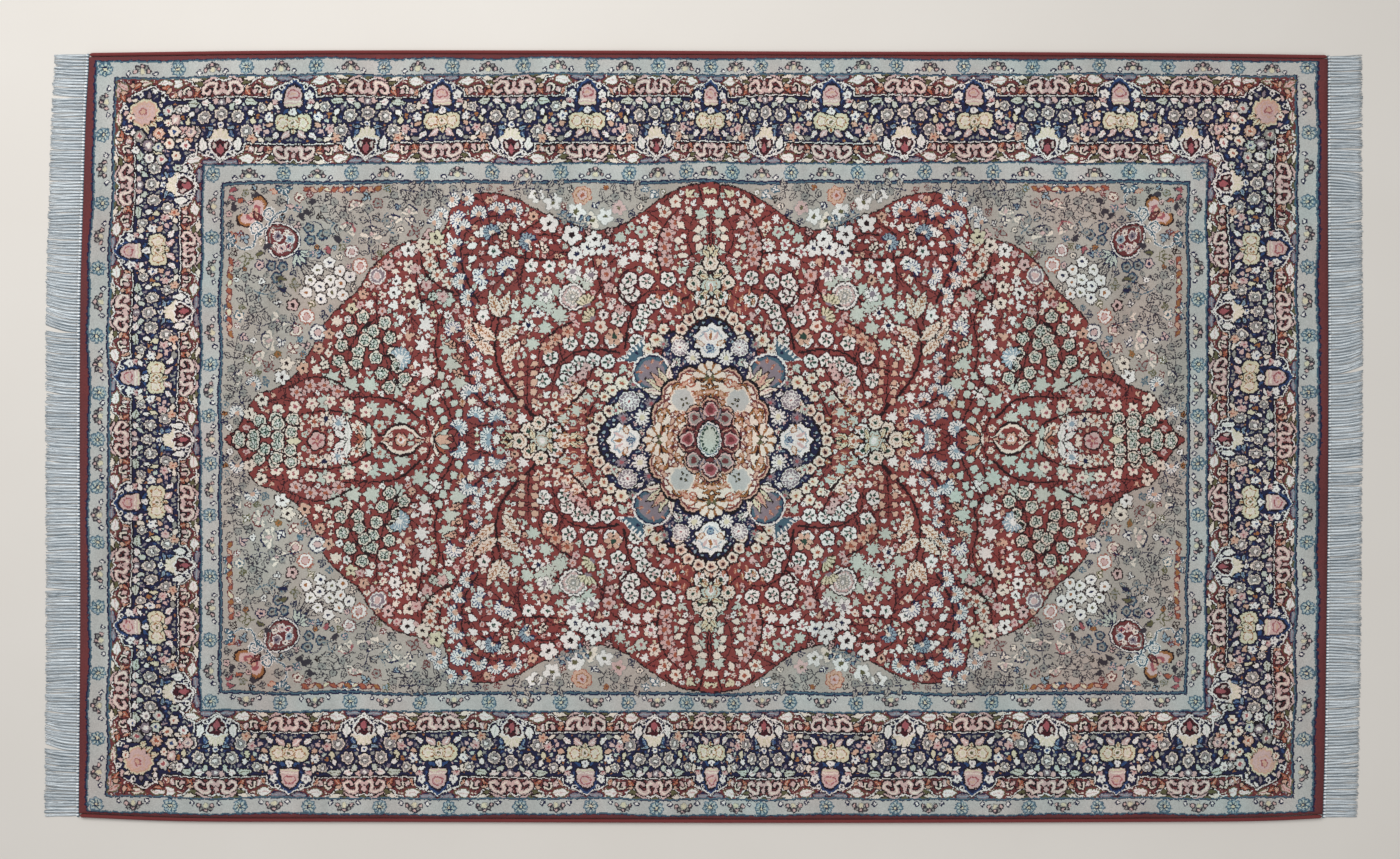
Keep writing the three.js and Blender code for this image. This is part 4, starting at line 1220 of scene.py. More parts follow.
def medallion():
    """The navy pool and what swims and grows in it, then the oval and the rosette on top."""
    # Shading flames outside the navy pool, near both middle lines and not between them.
    for ring, (reach_x, reach_y) in enumerate(((290, 288), (276, 272), (262, 258), (246, 246), (230, 236))):
        for degree in range(0, 91, 5):
            if 22 - 2 * ring < degree < 68 + 2 * ring:
                continue
            way = degree + 2.5 * (ring % 2)
            c, s = heading(way)
            quarter.leaf(reach_x * c, reach_y * s, 16, 7, way, (RUST, TAN, RUST, PEACH, TAN)[ring], None,
                         (PEACH, CREAM, PEACH, RUST, CREAM)[ring])

    pool = [
        (-20, -20), (216, -20), (216, 14), (203, 40), (202, 66), (194, 88), (168, 104), (140, 126),
        (108, 152), (90, 168), (92, 194), (74, 208), (46, 208), (28, 224), (8, 232), (-20, 232),
    ]
    quarter.area(turned(0, 0, 0, pool, 1.02), BLACK)
    quarter.area(pool, NAVY)

    # A ring of pale flowers round each palmette, outside the pool.
    for cx, cy, way in ((169, 0, 0), (0, 186, 90)):
        for turn in range(way - 84, way + 85, 21):
            rings = [(1.24, BARK), (0.98, CREAM), (0.6, PEACH), (0.34, DARK_MADDER)]
            quarter.rosette(*spot(cx, cy, turn, 64), 12, rings, lobe=0.24, turn=turn)
            quarter.rosette(*spot(cx, cy, turn, 44), 5, [(1.0, BLACK), (0.6, PALE_BLUE)])
    for x, y, size in (
        (172, 110, 15), (192, 96, 12), (120, 178, 12), (104, 194, 15), (206, 84, 11), (92, 214, 11),
        (200, 120, 12), (136, 190, 10), (222, 104, 10),
    ):
        quarter.rosette(
            x, y, size, [(1.22, BARK), (0.97, CREAM), (0.5, STRAW), (0.3, RUST)], petals=6, lobe=0.36,
        )

    puff(quarter, 159, 75, 20)
    puff(quarter, 58, 180, 17)
    daisy(quarter, 135, 43, 16, 0, IVORY, BLACK, STRAW)
    daisy(quarter, 32, 161, 15, 0, IVORY, BLACK, STRAW)
    for x, y, size, petal in (
        (172, 42, 12, MAUVE), (150, 108, 10, GREY), (118, 70, 11, MAUVE), (84, 148, 11, MAUVE),
        (24, 196, 9, PALE_BLUE), (90, 186, 9, GREY), (186, 58, 9, CELADON), (112, 24, 8, IVORY),
        (136, 14, 7, CREAM), (10, 168, 7, IVORY), (64, 152, 9, CELADON),
    ):
        daisy(quarter, x, y, size, 0, petal, BLACK, ROSE, petals=8)
    water_palmette(169, 0, 0)
    water_palmette(0, 192, 90)
    for x, y, turn in (
        (120, 96, 60), (128, 84, 20), (98, 138, 80), (74, 140, 120), (112, 60, -10), (104, 84, 10),
    ):
        quarter.leaf(x, y, 18, 8, turn, IVORY, BLACK, MAUVE)
    fish(114, 131, 49)

    # The peach oval, packed with tan scrolls.
    quarter.rosette(
        0, 0, 150, [(1.04, BLACK), (1.0, PEACH), (0.975, BROWN), (0.945, CREAM)], petals=16, lobe=0.09,
        wide=0.82,
    )
    for ring, (share, radius, places) in enumerate(((0.86, 15, 6), (0.66, 13, 5), (0.56, 8, 5))):
        for k in range(places):
            way = (k + 0.5) * 90 / places
            c, s = heading(way)
            x, y = 120 * share * c, 144 * share * s
            colour = (RUST, TAN, BROWN, TAN)[(k + ring) % 4]
            quarter.scroll(x, y, radius, way + 150 * (k % 2), 3.6, colour, winds=1.2,
                           way=1 - 2 * (k % 2), rim=BARK if (k + ring) % 2 else None)
            for side in (-1, 1):
                quarter.leaf(x, y, radius * 1.3, 7, way + 90 * side, PEACH, colour)
            quarter.rosette(x, y, 5, [(1.0, colour), (0.55, IVORY)], petals=4, lobe=0.3)
    for way, out in ((0, 100), (90, 124)):
        quarter.fan(*spot(0, 0, way, out), 32, way, CREAM, BARK, TAN, rays=5, spread=100, heart=OLIVE)
        quarter.rosette(*spot(0, 0, way, out + 8), 8, [(1.0, BARK), (0.7, CREAM)], petals=4, lobe=0.3)
    quarter.rosette(55, 78, 23, [(1.08, CREAM), (0.96, GROUND)], petals=6, lobe=0.16)
    for turn in (40, 110, 200, 290):
        quarter.leaf(*spot(51, 74, turn, 3), 8, 5, turn, BLACK, vein=OLIVE)

    # The rosette in the middle and its grey-green heart.
    quarter.rosette(
        0, 0, 84, [(1.04, BLACK), (1.0, PEACH), (0.95, BROWN), (0.86, BLACK), (0.82, BROWN)], petals=8,
        lobe=0.2, wide=0.72,
    )
    for k in range(-1, 4):
        c, s = heading(45 * k)
        rings = [(1.1, BLACK), (0.94, PINK), (0.74, (ROSE, GREY)[k % 2]), (0.42, BROWN)]
        quarter.rosette(43 * c, 60 * s, 16, rings, petals=3, turn=45 * k)
        way = 22.5 + 45 * k
        c, s = heading(way)
        quarter.leaf(28 * c, 42 * s, 26, 10, way, (BROWN, MAUVE)[k % 2], BLACK, PEACH)
    quarter.rosette(
        0, 0, 38, [(1.06, BLACK), (0.94, IVORY), (0.86, STEEL), (0.78, CELADON)], petals=14, lobe=0.08,
        wide=0.66,
    )
    for degree in range(10, 90, 20):
        c, s = heading(degree)
        quarter.rosette(15 * c, 24 * s, 2.8, [(1.0, GREEN)], lobe=0)


medallion()
print("medallion drawn")

# %% [markdown]
# No bare wool is left standing: wherever a motif still fits, the weaver puts one. So the three grounds are
# strewn with ever smaller scraps until only a knot or two shows between them.

# %% Filling the bare patches
FIELD_EDGE = 4  # mm inside the field's lines that stay bare
POOL_REACH = 240  # mm


def pool_scrap(chart, x, y, room, pick, turn):
    """A loose petal in the navy pool."""
    chart.leaf(x, y, room * 1.3, room, turn, (IVORY, MAUVE, PALE_BLUE, PINK)[pick % 4])


def in_field(x, y):
    return x < FIELD_END - FIELD_EDGE and y < FIELD_SIDE - FIELD_EDGE


def in_pool(x, y):
    return x < POOL_REACH and y < POOL_REACH


strewn = quarter.scatter(MADDER, (12, 9.5, 7.5, 6, 4.8), red_scrap, seed=11, zone=in_field)
print("small motifs in the garden:", strewn)
strewn = quarter.scatter(PUTTY, (14, 11, 8, 6.5), pale_scrap, seed=21, apart=1.12, zone=in_field)
print("small motifs in the spandrel:", strewn)
strewn = quarter.scatter(NAVY, (6, 4.5, 3.2), pool_scrap, seed=31, apart=1.05, zone=in_pool)
print("small motifs in the pool:", strewn)

# %% [markdown]
# ## The weaver's hand
# Nobody counts every knot right. The whole chart is the quarter mirrored both ways, but it is read through
# a slow wobble of a knot or two, so straight lines waver and no two flowers are quite alike, and here and
# there a knot takes its neighbour's wool.

# %% The whole rug in knots
HALF_ROWS = 500  # the outermost five rows of the paper lie under the side cord
STRAY = 0.06  # the share of knots that slip each way
half = quarter.knots[:HALF_ROWS]
tall = np.vstack([half[::-1], half])
whole = np.hstack([tall[:, ::-1], tall])
row, column = np.indices(whole.shape)
row_drift = 0.9 * np.sin(row / 31 + 2 * np.sin(column / 57)) + 0.8 * np.sin(column / 23 + row / 61)
column_drift = 0.9 * np.sin(column / 37 + 2 * np.sin(row / 49)) + 0.8 * np.sin(row / 19 - column / 71)
row_drift += 0.6 * np.sin(row / 2.7 + 3 * np.sin(column / 4.1))
column_drift += 0.6 * np.sin(column / 3.1 + 3 * np.sin(row / 3.7))
chance = np.random.default_rng(7).random((2, *whole.shape))
slip = (chance < STRAY).astype(int) - (chance > 1 - STRAY)
wobbled_row = np.clip(np.round(row + row_drift).astype(int) + slip[0], 0, whole.shape[0] - 1)
wobbled_column = np.clip(np.round(column + column_drift).astype(int) + slip[1], 0, whole.shape[1] - 1)
whole = whole[wobbled_row, wobbled_column]
print("the rug has", whole.size, "knots")

# %% [markdown]
# ## The shape of the pile
# Off the loom the rug isn't a true rectangle: each side bows by some millimetres, and the middle of the
# design lies a little off the middle of the cloth. The model's own source draws those bows from short
# tables, and the same tables stand here, so that every place on the chart finds its place on the slab.

# %% Sides of the rug
WOVEN_LENGTH = 2450  # mm
WOVEN_WIDTH = 1513  # mm
CORD_ROOM = 8.45  # mm from the rug's long side to the pile, inside the side cord
BOWS = {  # place along the side in mm: how far the side bows outwards there
    "west": {-757: 2, -516: 0, -320: -1, 0: 0, 268: -1, 386: -4, 484: -7, 640: -12, 757: -19},
    "east": {-757: -11, -560: -6, 0: 0, 540: -1, 757: -1},
    "north": {-1225: -3, -790: 2, -200: 2, 200: 0, 600: -1, 1000: -4, 1225: -7},
    "south": {-1225: -9, -1000: -1, -600: 0, 190: 2, 900: 0, 1100: -2, 1225: -8},
}


def side_of(name, place):
    """How far a side is from the middle, at places along it: half the length or width and its bow."""
    line = smooth(list(BOWS[name].items()), step=20)
    half_size = (WOVEN_LENGTH if name in ("west", "east") else WOVEN_WIDTH) / 2
    return half_size + np.interp(place, line[:, 0], line[:, 1])


pile_low, pile_high = np.array(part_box("knotted_pile")) * 1000
end_places = np.linspace(-748, 748, 99)
drawn_low = -side_of("west", end_places).max()
drawn_high = side_of("east", end_places).max()
# The model's origin is the middle of its outline, and the bows don't cancel out.
SHIFT = (pile_low[0] + pile_high[0] - drawn_low - drawn_high) / 2
print("the model's middle is shifted by", round(float(SHIFT), 2), "mm")

# %% [markdown]
# Each place on the chart is moved in proportion, so that the chart's edge falls on the pile's edge. The
# weaver beat the last rows looser than the rest, so the borders have slipped some millimetres inwards from
# the ends and the red edge there is wider. The surface is nearly flat, but a floor rug has slow swells
# where it was folded, about half a millimetre here.

# %% From the chart to the rug
CHART_MIDDLE = (12.7, -6.4)  # mm from the rug's middle
CHART_HALF = (QUARTER_COLUMNS * KNOT, HALF_ROWS * KNOT)
PILE_TOP = 8.7  # mm
SWELL = 0.28  # mm, a swell's height
WEST_SLIP, EAST_SLIP = 4, 11  # mm inwards, at most
SLIP_POWER = 40  # the higher, the nearer to the edge the slip ends
NORTH_SLIP, NORTH_TILT = 1.5, 5  # mm outwards at the middle of the side, and how much more at its east end


def on_rug(along, across):
    """Chart places in mm to rug places in mm: a straight stretch from the design's middle to each side,
    and a slip that grows with the share of the way out, s, as s times 1 minus s to a high power."""
    s, t = along / CHART_HALF[0], across / CHART_HALF[1]
    x0, y0 = s * WOVEN_LENGTH / 2, t * WOVEN_WIDTH / 2
    reach_x = np.where(s < 0, side_of("west", y0) + CHART_MIDDLE[0], side_of("east", y0) - CHART_MIDDLE[0])
    reach_y = np.where(
        t < 0, side_of("south", x0) + CHART_MIDDLE[1], side_of("north", x0) - CHART_MIDDLE[1],
    )
    slip_x = np.where(s < 0, WEST_SLIP, -EAST_SLIP) * np.abs(s) * (1 - s**SLIP_POWER)
    slip_y = np.where(t > 0, NORTH_SLIP + NORTH_TILT * s, 0) * t * (1 - t**SLIP_POWER)
    x, y = CHART_MIDDLE[0] + s * reach_x, CHART_MIDDLE[1] + t * (reach_y - CORD_ROOM)
    return x + slip_x + SHIFT, y + slip_y


def swell(x, y):
    """The height of the slow swells in mm: three long waves across each other."""
    waves = np.sin(x / 190 + 0.7) * np.sin(y / 260) + 0.6 * np.sin(x / 83 - y / 140)
    return SWELL * (waves + 0.4 * np.sin(y / 61 + x / 300))


# %% [markdown]
# ## The pile mesh
# One face a knot would be 1.6 million faces. Instead a face carries five by five knots, 7.5 mm square, and
# the knots' colours ride on it as numbers. With 25 wools, a row of five knots is one whole number in base
# 27, below the sixteen million up to which a float is exact, so two vectors on each face hold its five
# rows. The underside is read through the foundation, so there a face carries squares of two by two knots.

# %% Packing rows of knots into numbers
PATCH = 5  # squares along a face's side
BASE = 27  # more than the wools, so that no digit is the lowest or the highest


def packed(squares):
    """For each patch of five by five squares, five whole numbers: the sum of (colour + 1) times the base
    to the power of the square's place in its row."""
    rows, columns = np.array(squares.shape) // PATCH
    patches = squares.reshape(rows, PATCH, columns, PATCH).transpose(0, 2, 1, 3).astype(float) + 1
    return (patches * BASE ** np.arange(PATCH)).sum(-1).reshape(rows * columns, PATCH)


top_squares = whole
under_squares = whole[::2, ::2]
face_rows = np.vstack([packed(top_squares), packed(under_squares)])
print("packed faces:", len(face_rows), "largest number:", int(face_rows.max()))


# %% Building the slab
def grid(rows, columns):
    """The corner points of a grid's faces, anticlockwise, and the points round its rim, anticlockwise."""
    point = np.arange((rows + 1) * (columns + 1)).reshape(rows + 1, columns + 1)
    corners = np.stack([point[:-1, :-1], point[:-1, 1:], point[1:, 1:], point[1:, :-1]], -1).reshape(-1, 4)
    rim = np.concatenate([point[0, :-1], point[:-1, -1], point[-1, :0:-1], point[:0:-1, 0]])
    return corners, rim


def sheet_points(rows, columns):
    """Chart places and rug places of a grid's points, and the points' squares on it."""
    across, along = np.meshgrid(
        np.linspace(-1, 1, rows + 1), np.linspace(-1, 1, columns + 1), indexing="ij",
    )
    x, y = on_rug(along.ravel() * CHART_HALF[0], across.ravel() * CHART_HALF[1])
    squares = np.stack([(along.ravel() + 1) / 2 * columns, (across.ravel() + 1) / 2 * rows], -1) * PATCH
    return x, y, squares


RIM_DROP = 1.6  # mm that the pile's rim lies lower than its top
RIM_INSET = 0.9  # mm that it is drawn in
WAIST_HEIGHT = 5.0  # mm, where the slab is widest
UNDER_LIFT = 0.3  # mm over the floor
UNDER_INSET = (1.2 / 1225, 1.2 / 750)  # shares of the half length and half width
TOP_SIZE = (top_squares.shape[0] // PATCH, top_squares.shape[1] // PATCH)
UNDER_SIZE = (under_squares.shape[0] // PATCH, under_squares.shape[1] // PATCH)
top_faces, top_rim = grid(*TOP_SIZE)
under_faces, under_rim = grid(*UNDER_SIZE)
x, y, top_uv = sheet_points(*TOP_SIZE)
z = PILE_TOP + swell(x, y)
z[top_rim] -= RIM_DROP
top_places = np.stack([x, y, z], -1)
waist = top_places[top_rim]
waist[:, 2] = WAIST_HEIGHT
top_places[top_rim, :2] *= 1 - RIM_INSET / np.abs(top_places[top_rim, :2]).clip(700)
x, y, under_uv = sheet_points(*UNDER_SIZE)
drawn_in = [x * (1 - UNDER_INSET[0]), y * (1 - UNDER_INSET[1])]
under_places = np.stack([*drawn_in, np.full(x.shape, UNDER_LIFT)], -1)

first_waist = len(top_places)
first_under = first_waist + len(waist)
around = first_waist + np.arange(len(waist))
upper_wall = np.stack([around, np.roll(around, -1), np.roll(top_rim, -1), top_rim], -1)
under_ring = first_under + under_rim
lower_wall = np.stack(
    [under_ring, np.roll(under_ring, -1), np.roll(around, -2)[::2], np.roll(around, -1)[::2], around[::2]],
    -1,
)
bottom = first_under + under_faces[:, ::-1]
places = np.vstack([top_places, waist, under_places]) / 1000
faces = [*top_faces.tolist(), *upper_wall.tolist(), *lower_wall.tolist(), *bottom.tolist()]

pile = mesh_object("wool_pile", places.tolist(), faces)
pile_mesh = pile.data
pile_mesh.validate()
print("pile faces:", len(faces), "points:", len(places))

# %% [markdown]
# A face's corner finds its squares through a UV map that counts squares, not shares of an image. Wall
# faces borrow the squares of the face beside them, half a square in from the edge.

# %% The squares' numbers and places on the mesh
top_face = np.arange(len(top_faces)).reshape(TOP_SIZE)
beside = np.concatenate([top_face[0], top_face[:, -1], top_face[-1, ::-1], top_face[::-1, 0]])
numbers = np.vstack([
    face_rows[: len(top_faces)], face_rows[beside], face_rows[beside[::2]], face_rows[len(top_faces) :],
])
low_rows = pile_mesh.attributes.new("rows_one_to_three", "FLOAT_VECTOR", "FACE")
low_rows.data.foreach_set("vector", numbers[:, :3].astype(np.float32).ravel())
high_rows = pile_mesh.attributes.new("rows_four_and_five", "FLOAT_VECTOR", "FACE")
padded_rows = np.hstack([numbers[:, 3:], np.zeros((len(numbers), 1))])
high_rows.data.foreach_set("vector", padded_rows.astype(np.float32).ravel())
is_under = pile_mesh.attributes.new("underside", "FLOAT", "FACE")
is_under.data.foreach_set(
    "value", (np.arange(len(numbers)) >= len(numbers) - len(bottom)).astype(np.float32),
)

held_in = np.clip(top_uv[top_rim], 0.5, np.array(TOP_SIZE[::-1]) * PATCH - 0.5)
wall_uv = np.stack([held_in, np.roll(held_in, -1, 0), np.roll(held_in, -1, 0), held_in], 1)
step_in = held_in[::2]
step_mid = np.roll(held_in, -1, 0)[::2]
lower_uv = np.stack([step_in, np.roll(step_in, -1, 0), np.roll(step_in, -1, 0), step_mid, step_in], 1)
corner_uv = np.vstack([
    top_uv[top_faces].reshape(-1, 2), wall_uv.reshape(-1, 2), lower_uv.reshape(-1, 2),
    under_uv[under_faces[:, ::-1]].reshape(-1, 2),
])
chart_map = pile_mesh.uv_layers.new(name="chart")
chart_map.data.foreach_set("uv", corner_uv.astype(np.float32).ravel())
print("numbers on", len(numbers), "faces; corners mapped:", len(corner_uv))

# %% [markdown]
# ## Wool pile
# The pile is sheared sheep's wool: matt, with a faint sheen where the tufts lean. Its material undoes the
# packing. The UV map gives the square, its row picks one of the face's five numbers, and dividing by the
# base to the power of its column leaves the colour's place in the row of dyed wools. On that come four
# things that a dyer and years of feet do to it: each knot is a touch lighter or darker than the next;
# whole hanks differ, so bands and patches run pinker or greener; dust greys it; and each tuft is a bump.

# %% Pile material: which wool is each knot
pile_wool, tree, shader = new_material("sheared_wool_pile")
chart_uv = put(tree, "UVMap", uv_map="chart")
part = put(tree, "SeparateXYZ", {0: chart_uv})
places_in_patch = []
for axis in (0, 1):
    within = put(tree, "Math", {0: part.outputs[axis], 1: PATCH}, operation="FLOORED_MODULO")
    places_in_patch.append(put(tree, "Math", {0: within}, operation="FLOOR"))
row_numbers = []
for name in ("rows_one_to_three", "rows_four_and_five"):
    carried = put(tree, "Attribute", attribute_name=name)
    row_numbers += list(put(tree, "SeparateXYZ", {0: carried.outputs["Vector"]}).outputs)
number = 0.0
for which in range(PATCH):
    here = put(tree, "Math", {0: places_in_patch[1], 1: which, 2: 0.5}, operation="COMPARE")
    number = put(tree, "Math", {0: here, 1: row_numbers[which], 2: number},
                 operation="MULTIPLY_ADD")
power = put(tree, "Math", {0: BASE, 1: places_in_patch[0]}, operation="POWER")
power = put(tree, "Math", {0: power}, operation="ROUND")
next_power = put(tree, "Math", {0: power, 1: BASE}, operation="MULTIPLY")
lower_digits = put(tree, "Math", {0: number, 1: next_power}, operation="MODULO")
digit = put(tree, "Math", {0: lower_digits, 1: power}, operation="DIVIDE")
digit = put(tree, "Math", {0: digit}, operation="FLOOR")
share = put(tree, "Math", {0: digit, 1: 0.5}, operation="SUBTRACT")
share = put(tree, "Math", {0: share, 1: len(WOOLS)}, operation="DIVIDE")
wools = put(tree, "ValToRGB", {0: share})
wools.color_ramp.interpolation = "CONSTANT"
for k, code in enumerate(WOOLS.values()):
    stop = wools.color_ramp.elements[0] if k == 0 else wools.color_ramp.elements.new(k / len(WOOLS))
    stop.position = k / len(WOOLS)
    stop.color = linear(code)
last_stop = wools.color_ramp.elements[-1]
if last_stop.position == 1.0:
    wools.color_ramp.elements.remove(last_stop)
print(len(wools.color_ramp.elements), "wools in the ramp")

# %% Pile material: dye lots, dust and tufts
object_place = put(tree, "TexCoord").outputs["Object"]
knot_place = put(tree, "VectorMath", {0: chart_uv}, operation="FLOOR")
knot_chance = put(tree, "TexWhiteNoise", {"Vector": knot_place}, noise_dimensions="2D")
knot_tone = put(tree, "MapRange", {0: knot_chance, 3: 0.86, 4: 1.12})
streaks = put(tree, "Mapping", {0: object_place, "Scale": (14.0, 3.0, 1.0)})  # hanks run across
hank = put(tree, "TexNoise", {"Vector": streaks, "Scale": 1.0, "Detail": 3.0})
lot = put(tree, "TexNoise", {"Vector": object_place, "Scale": 5.5, "Detail": 2.0})
lot_share = put(tree, "MapRange", {0: lot, 1: 0.3, 2: 0.7})
lot_tint = put(tree, "Mix", {"Factor": lot_share, "A": linear("FCF1EE"),
                                       "B": linear("EDF9F9")}, data_type="RGBA")
hank_tone = put(tree, "MapRange", {0: hank, 1: 0.3, 2: 0.7, 3: 0.87, 4: 1.13})
tone = put(tree, "Math", {0: knot_tone, 1: hank_tone}, operation="MULTIPLY")
dyed = put(tree, "Mix", {"Factor": 1.0, "A": wools, "B": lot_tint},
           data_type="RGBA", blend_type="MULTIPLY")
toned = put(tree, "VectorMath", {0: dyed, "Scale": tone}, operation="SCALE")
dusty = put(tree, "Mix", {"Factor": 0.012, "A": toned, "B": linear("B5AAA0")}, data_type="RGBA")
back = put(tree, "Attribute", attribute_name="underside")
cotton_show = put(tree, "Math", {0: back.outputs["Fac"], 1: 0.35}, operation="MULTIPLY")
seen = put(tree, "Mix", {"Factor": cotton_show, "A": dusty,
                                   "B": linear("C9C4B8")}, data_type="RGBA")
within_knot = put(tree, "VectorMath", {0: chart_uv}, operation="FRACTION")
off_middle = put(tree, "VectorMath", {0: within_knot, 1: (0.5, 0.5, 0.0)}, operation="DISTANCE")
tuft = put(tree, "MapRange", {0: off_middle, 1: 0.2, 2: 0.6, 3: 1.0, 4: 0.0},
           interpolation_type="SMOOTHSTEP")
fibres = put(tree, "TexNoise", {"Vector": object_place, "Scale": 900.0, "Detail": 2.0})
relief = put(tree, "Math", {0: tuft, 1: fibres}, operation="ADD")
bump = put(tree, "Bump", {"Height": relief, "Strength": 0.35, "Distance": 0.0006})
fill(shader, {"Base Color": seen, "Roughness": 0.92, "Specular IOR Level": 0.1, "Sheen Weight": 0.03,
              "Sheen Roughness": 0.45, "Normal": bump})
pile_mesh.materials.append(pile_wool)
print("pile material has", len(tree.nodes), "nodes")

# %% [markdown]
# ## Side cords
# Along each long side the outermost warps are bundled and wrapped round and round with dark red wool. Each
# cord could be a plain bevelled curve, but its wraps would then be paint. Here the radius swells and
# shrinks once every wrap while the phase turns with the angle, so the wraps are a true helix.

# %% Cord shapes
WRAP = 3.0  # mm a wrap
CORD_SIDES = 10
CORD_HALF = (4.0, 4.2)  # mm, half the width and half the height
SWELLING = 0.06  # share of the radius
END_ROOM = 0.3  # mm from the solid's end
END_SIZE = 0.15  # share of the full section that is left at the very end
CLOSING = 6  # mm


def tube_faces(stations, sides, first=0):
    """Quads of a tube of rings, one point number after another along each ring, and its two end caps."""
    ring = first + np.arange(stations * sides).reshape(stations, sides)
    turned_on = np.roll(ring, -1, axis=1)
    quads = np.stack([ring[:-1], ring[1:], turned_on[1:], turned_on[:-1]], -1).reshape(-1, 4)
    return quads.tolist() + [ring[0].tolist(), ring[-1, ::-1].tolist()]


def wrapped_cord(name, side_name, way):
    """A tube along a long side: each ring is an ellipse whose radius is scaled by 1 plus the swelling
    times the cosine of the wrap's phase, less the swelling. The phase grows along the cord and once
    round it. Towards an end the radius shrinks with the square root of the way left."""
    low, high = np.array(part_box(name)) * 1000
    x = np.arange(low[0] + END_ROOM, high[0] - END_ROOM, WRAP / 2)
    y = way * (side_of(side_name, x) - CORD_HALF[0])
    angle = np.linspace(0, 2 * np.pi, CORD_SIDES, endpoint=False)
    scale = 1 + SWELLING * np.cos(2 * np.pi * x[:, None] / WRAP + angle) - SWELLING
    from_end = np.minimum(x - x[0], x[-1] - x)[:, None]
    scale = scale * np.sqrt(np.clip(END_SIZE + from_end / CLOSING, 0, 1))
    ring_y = y[:, None] + CORD_HALF[0] * scale * np.cos(angle)
    ring_z = CORD_HALF[1] * (1 + scale * np.sin(angle))
    ring_x = np.broadcast_to(x[:, None], ring_y.shape)
    points = np.stack([ring_x, ring_y, ring_z], -1).reshape(-1, 3) / 1000
    return mesh_object(name + "_wraps", points.tolist(), tube_faces(len(x), CORD_SIDES))


cords = [wrapped_cord("side_cord_north", "north", 1), wrapped_cord("side_cord_south", "south", -1)]
print("cord faces:", [len(cord.data.polygons) for cord in cords])

# %% Wrapping wool
wrapping_wool, tree, shader = new_material("wrapped_binding_wool")
object_place = put(tree, "TexCoord").outputs["Object"]
wraps = put(tree, "Mapping", {0: object_place, "Scale": (1000 / WRAP, 40.0, 40.0)})
strand = put(tree, "TexNoise", {"Vector": wraps, "Scale": 1.0, "Detail": 3.0})
dye = put(tree, "TexNoise", {"Vector": object_place, "Scale": 9.0, "Detail": 2.0})
strand_tone = put(tree, "Mix", {"Factor": strand, "A": linear("5A2425"), "B": linear("7A3534")},
                  data_type="RGBA")
worn = put(tree, "Mix", {"Factor": dye, "A": strand_tone,
                                   "B": linear("6B2C2B")}, data_type="RGBA")
bump = put(tree, "Bump", {"Height": strand, "Strength": 0.4, "Distance": 0.0005})
fill(shader, {"Base Color": worn, "Roughness": 0.9, "Specular IOR Level": 0.25, "Sheen Weight": 0.15,
              "Normal": bump})
for cord in cords:
    cord.data.materials.append(wrapping_wool)
print("wrapping wool on", len(cords), "cords")

# %% [markdown]
# ## Fringes
# At each end the cotton warps run out of the cloth. A narrow plain web holds the last knots, then a few
# warps at a time are tied in a small knot and left loose. The loose threads lie on the floor in soft
# waves, and part here and there into tufts. Hair particles could grow them, but a mesh of thin
# three-sided tubes made as one array keeps every thread in the exported model.

# %% Where the threads lie
FRINGE_LENGTH = 71.0  # mm from the pile's end to the tips
WEB_WIDTH = 5.0  # mm
FRINGE_INSET = 5  # mm from a corner of the rug to the first bundle
BUNDLE_STEP = 6.05  # mm
THREADS_A_BUNDLE = 9
THREAD_STATIONS = 9
THREAD_SIDES = 3
KNOT_SIDES = 6
KNOT_HEIGHT = 2.7  # mm from the floor to a knot's middle
RIB = 3  # mm between the web's ribs
THREAD_RADIUS = 0.66  # mm
# Place along the side: the width of the gap at the tips and how far its middle is swept, in mm.
PARTINGS = {
    "west": {
        -620: (9, 12), -470: (3, -4), -300: (4, 2), -190: (3, -3), -60: (4, 3), 80: (7, 5), 205: (13, 13),
        330: (4, 6), 470: (3, -2), 560: (3, 2), 664: (6, 2),
    },
    "east": {
        -650: (4, 3), -560: (5, 6), -400: (4, -4), -230: (4, 5), -60: (4, 3), 120: (9, 14), 270: (4, 6),
        420: (5, 4), 525: (9, -6), 600: (6, 3),
    },
}


def tip_sweep(name, roots, low, high):
    """How far the tips are swept along the side: from each parting to the next, the sweep goes evenly
    from the parting's own plus half its gap to the next one's less half its gap."""
    marks = {low: (0, 0), **PARTINGS[name], high: (0, 0)}
    at = np.array(list(marks))
    gap, sweep = np.array(list(marks.values())).T
    k = np.clip(np.searchsorted(at, roots) - 1, 0, len(at) - 2)
    share = (roots - at[k]) / (at[k + 1] - at[k])
    start, end = sweep[k] + gap[k] / 2, sweep[k + 1] - gap[k + 1] / 2
    return start + (end - start) * share


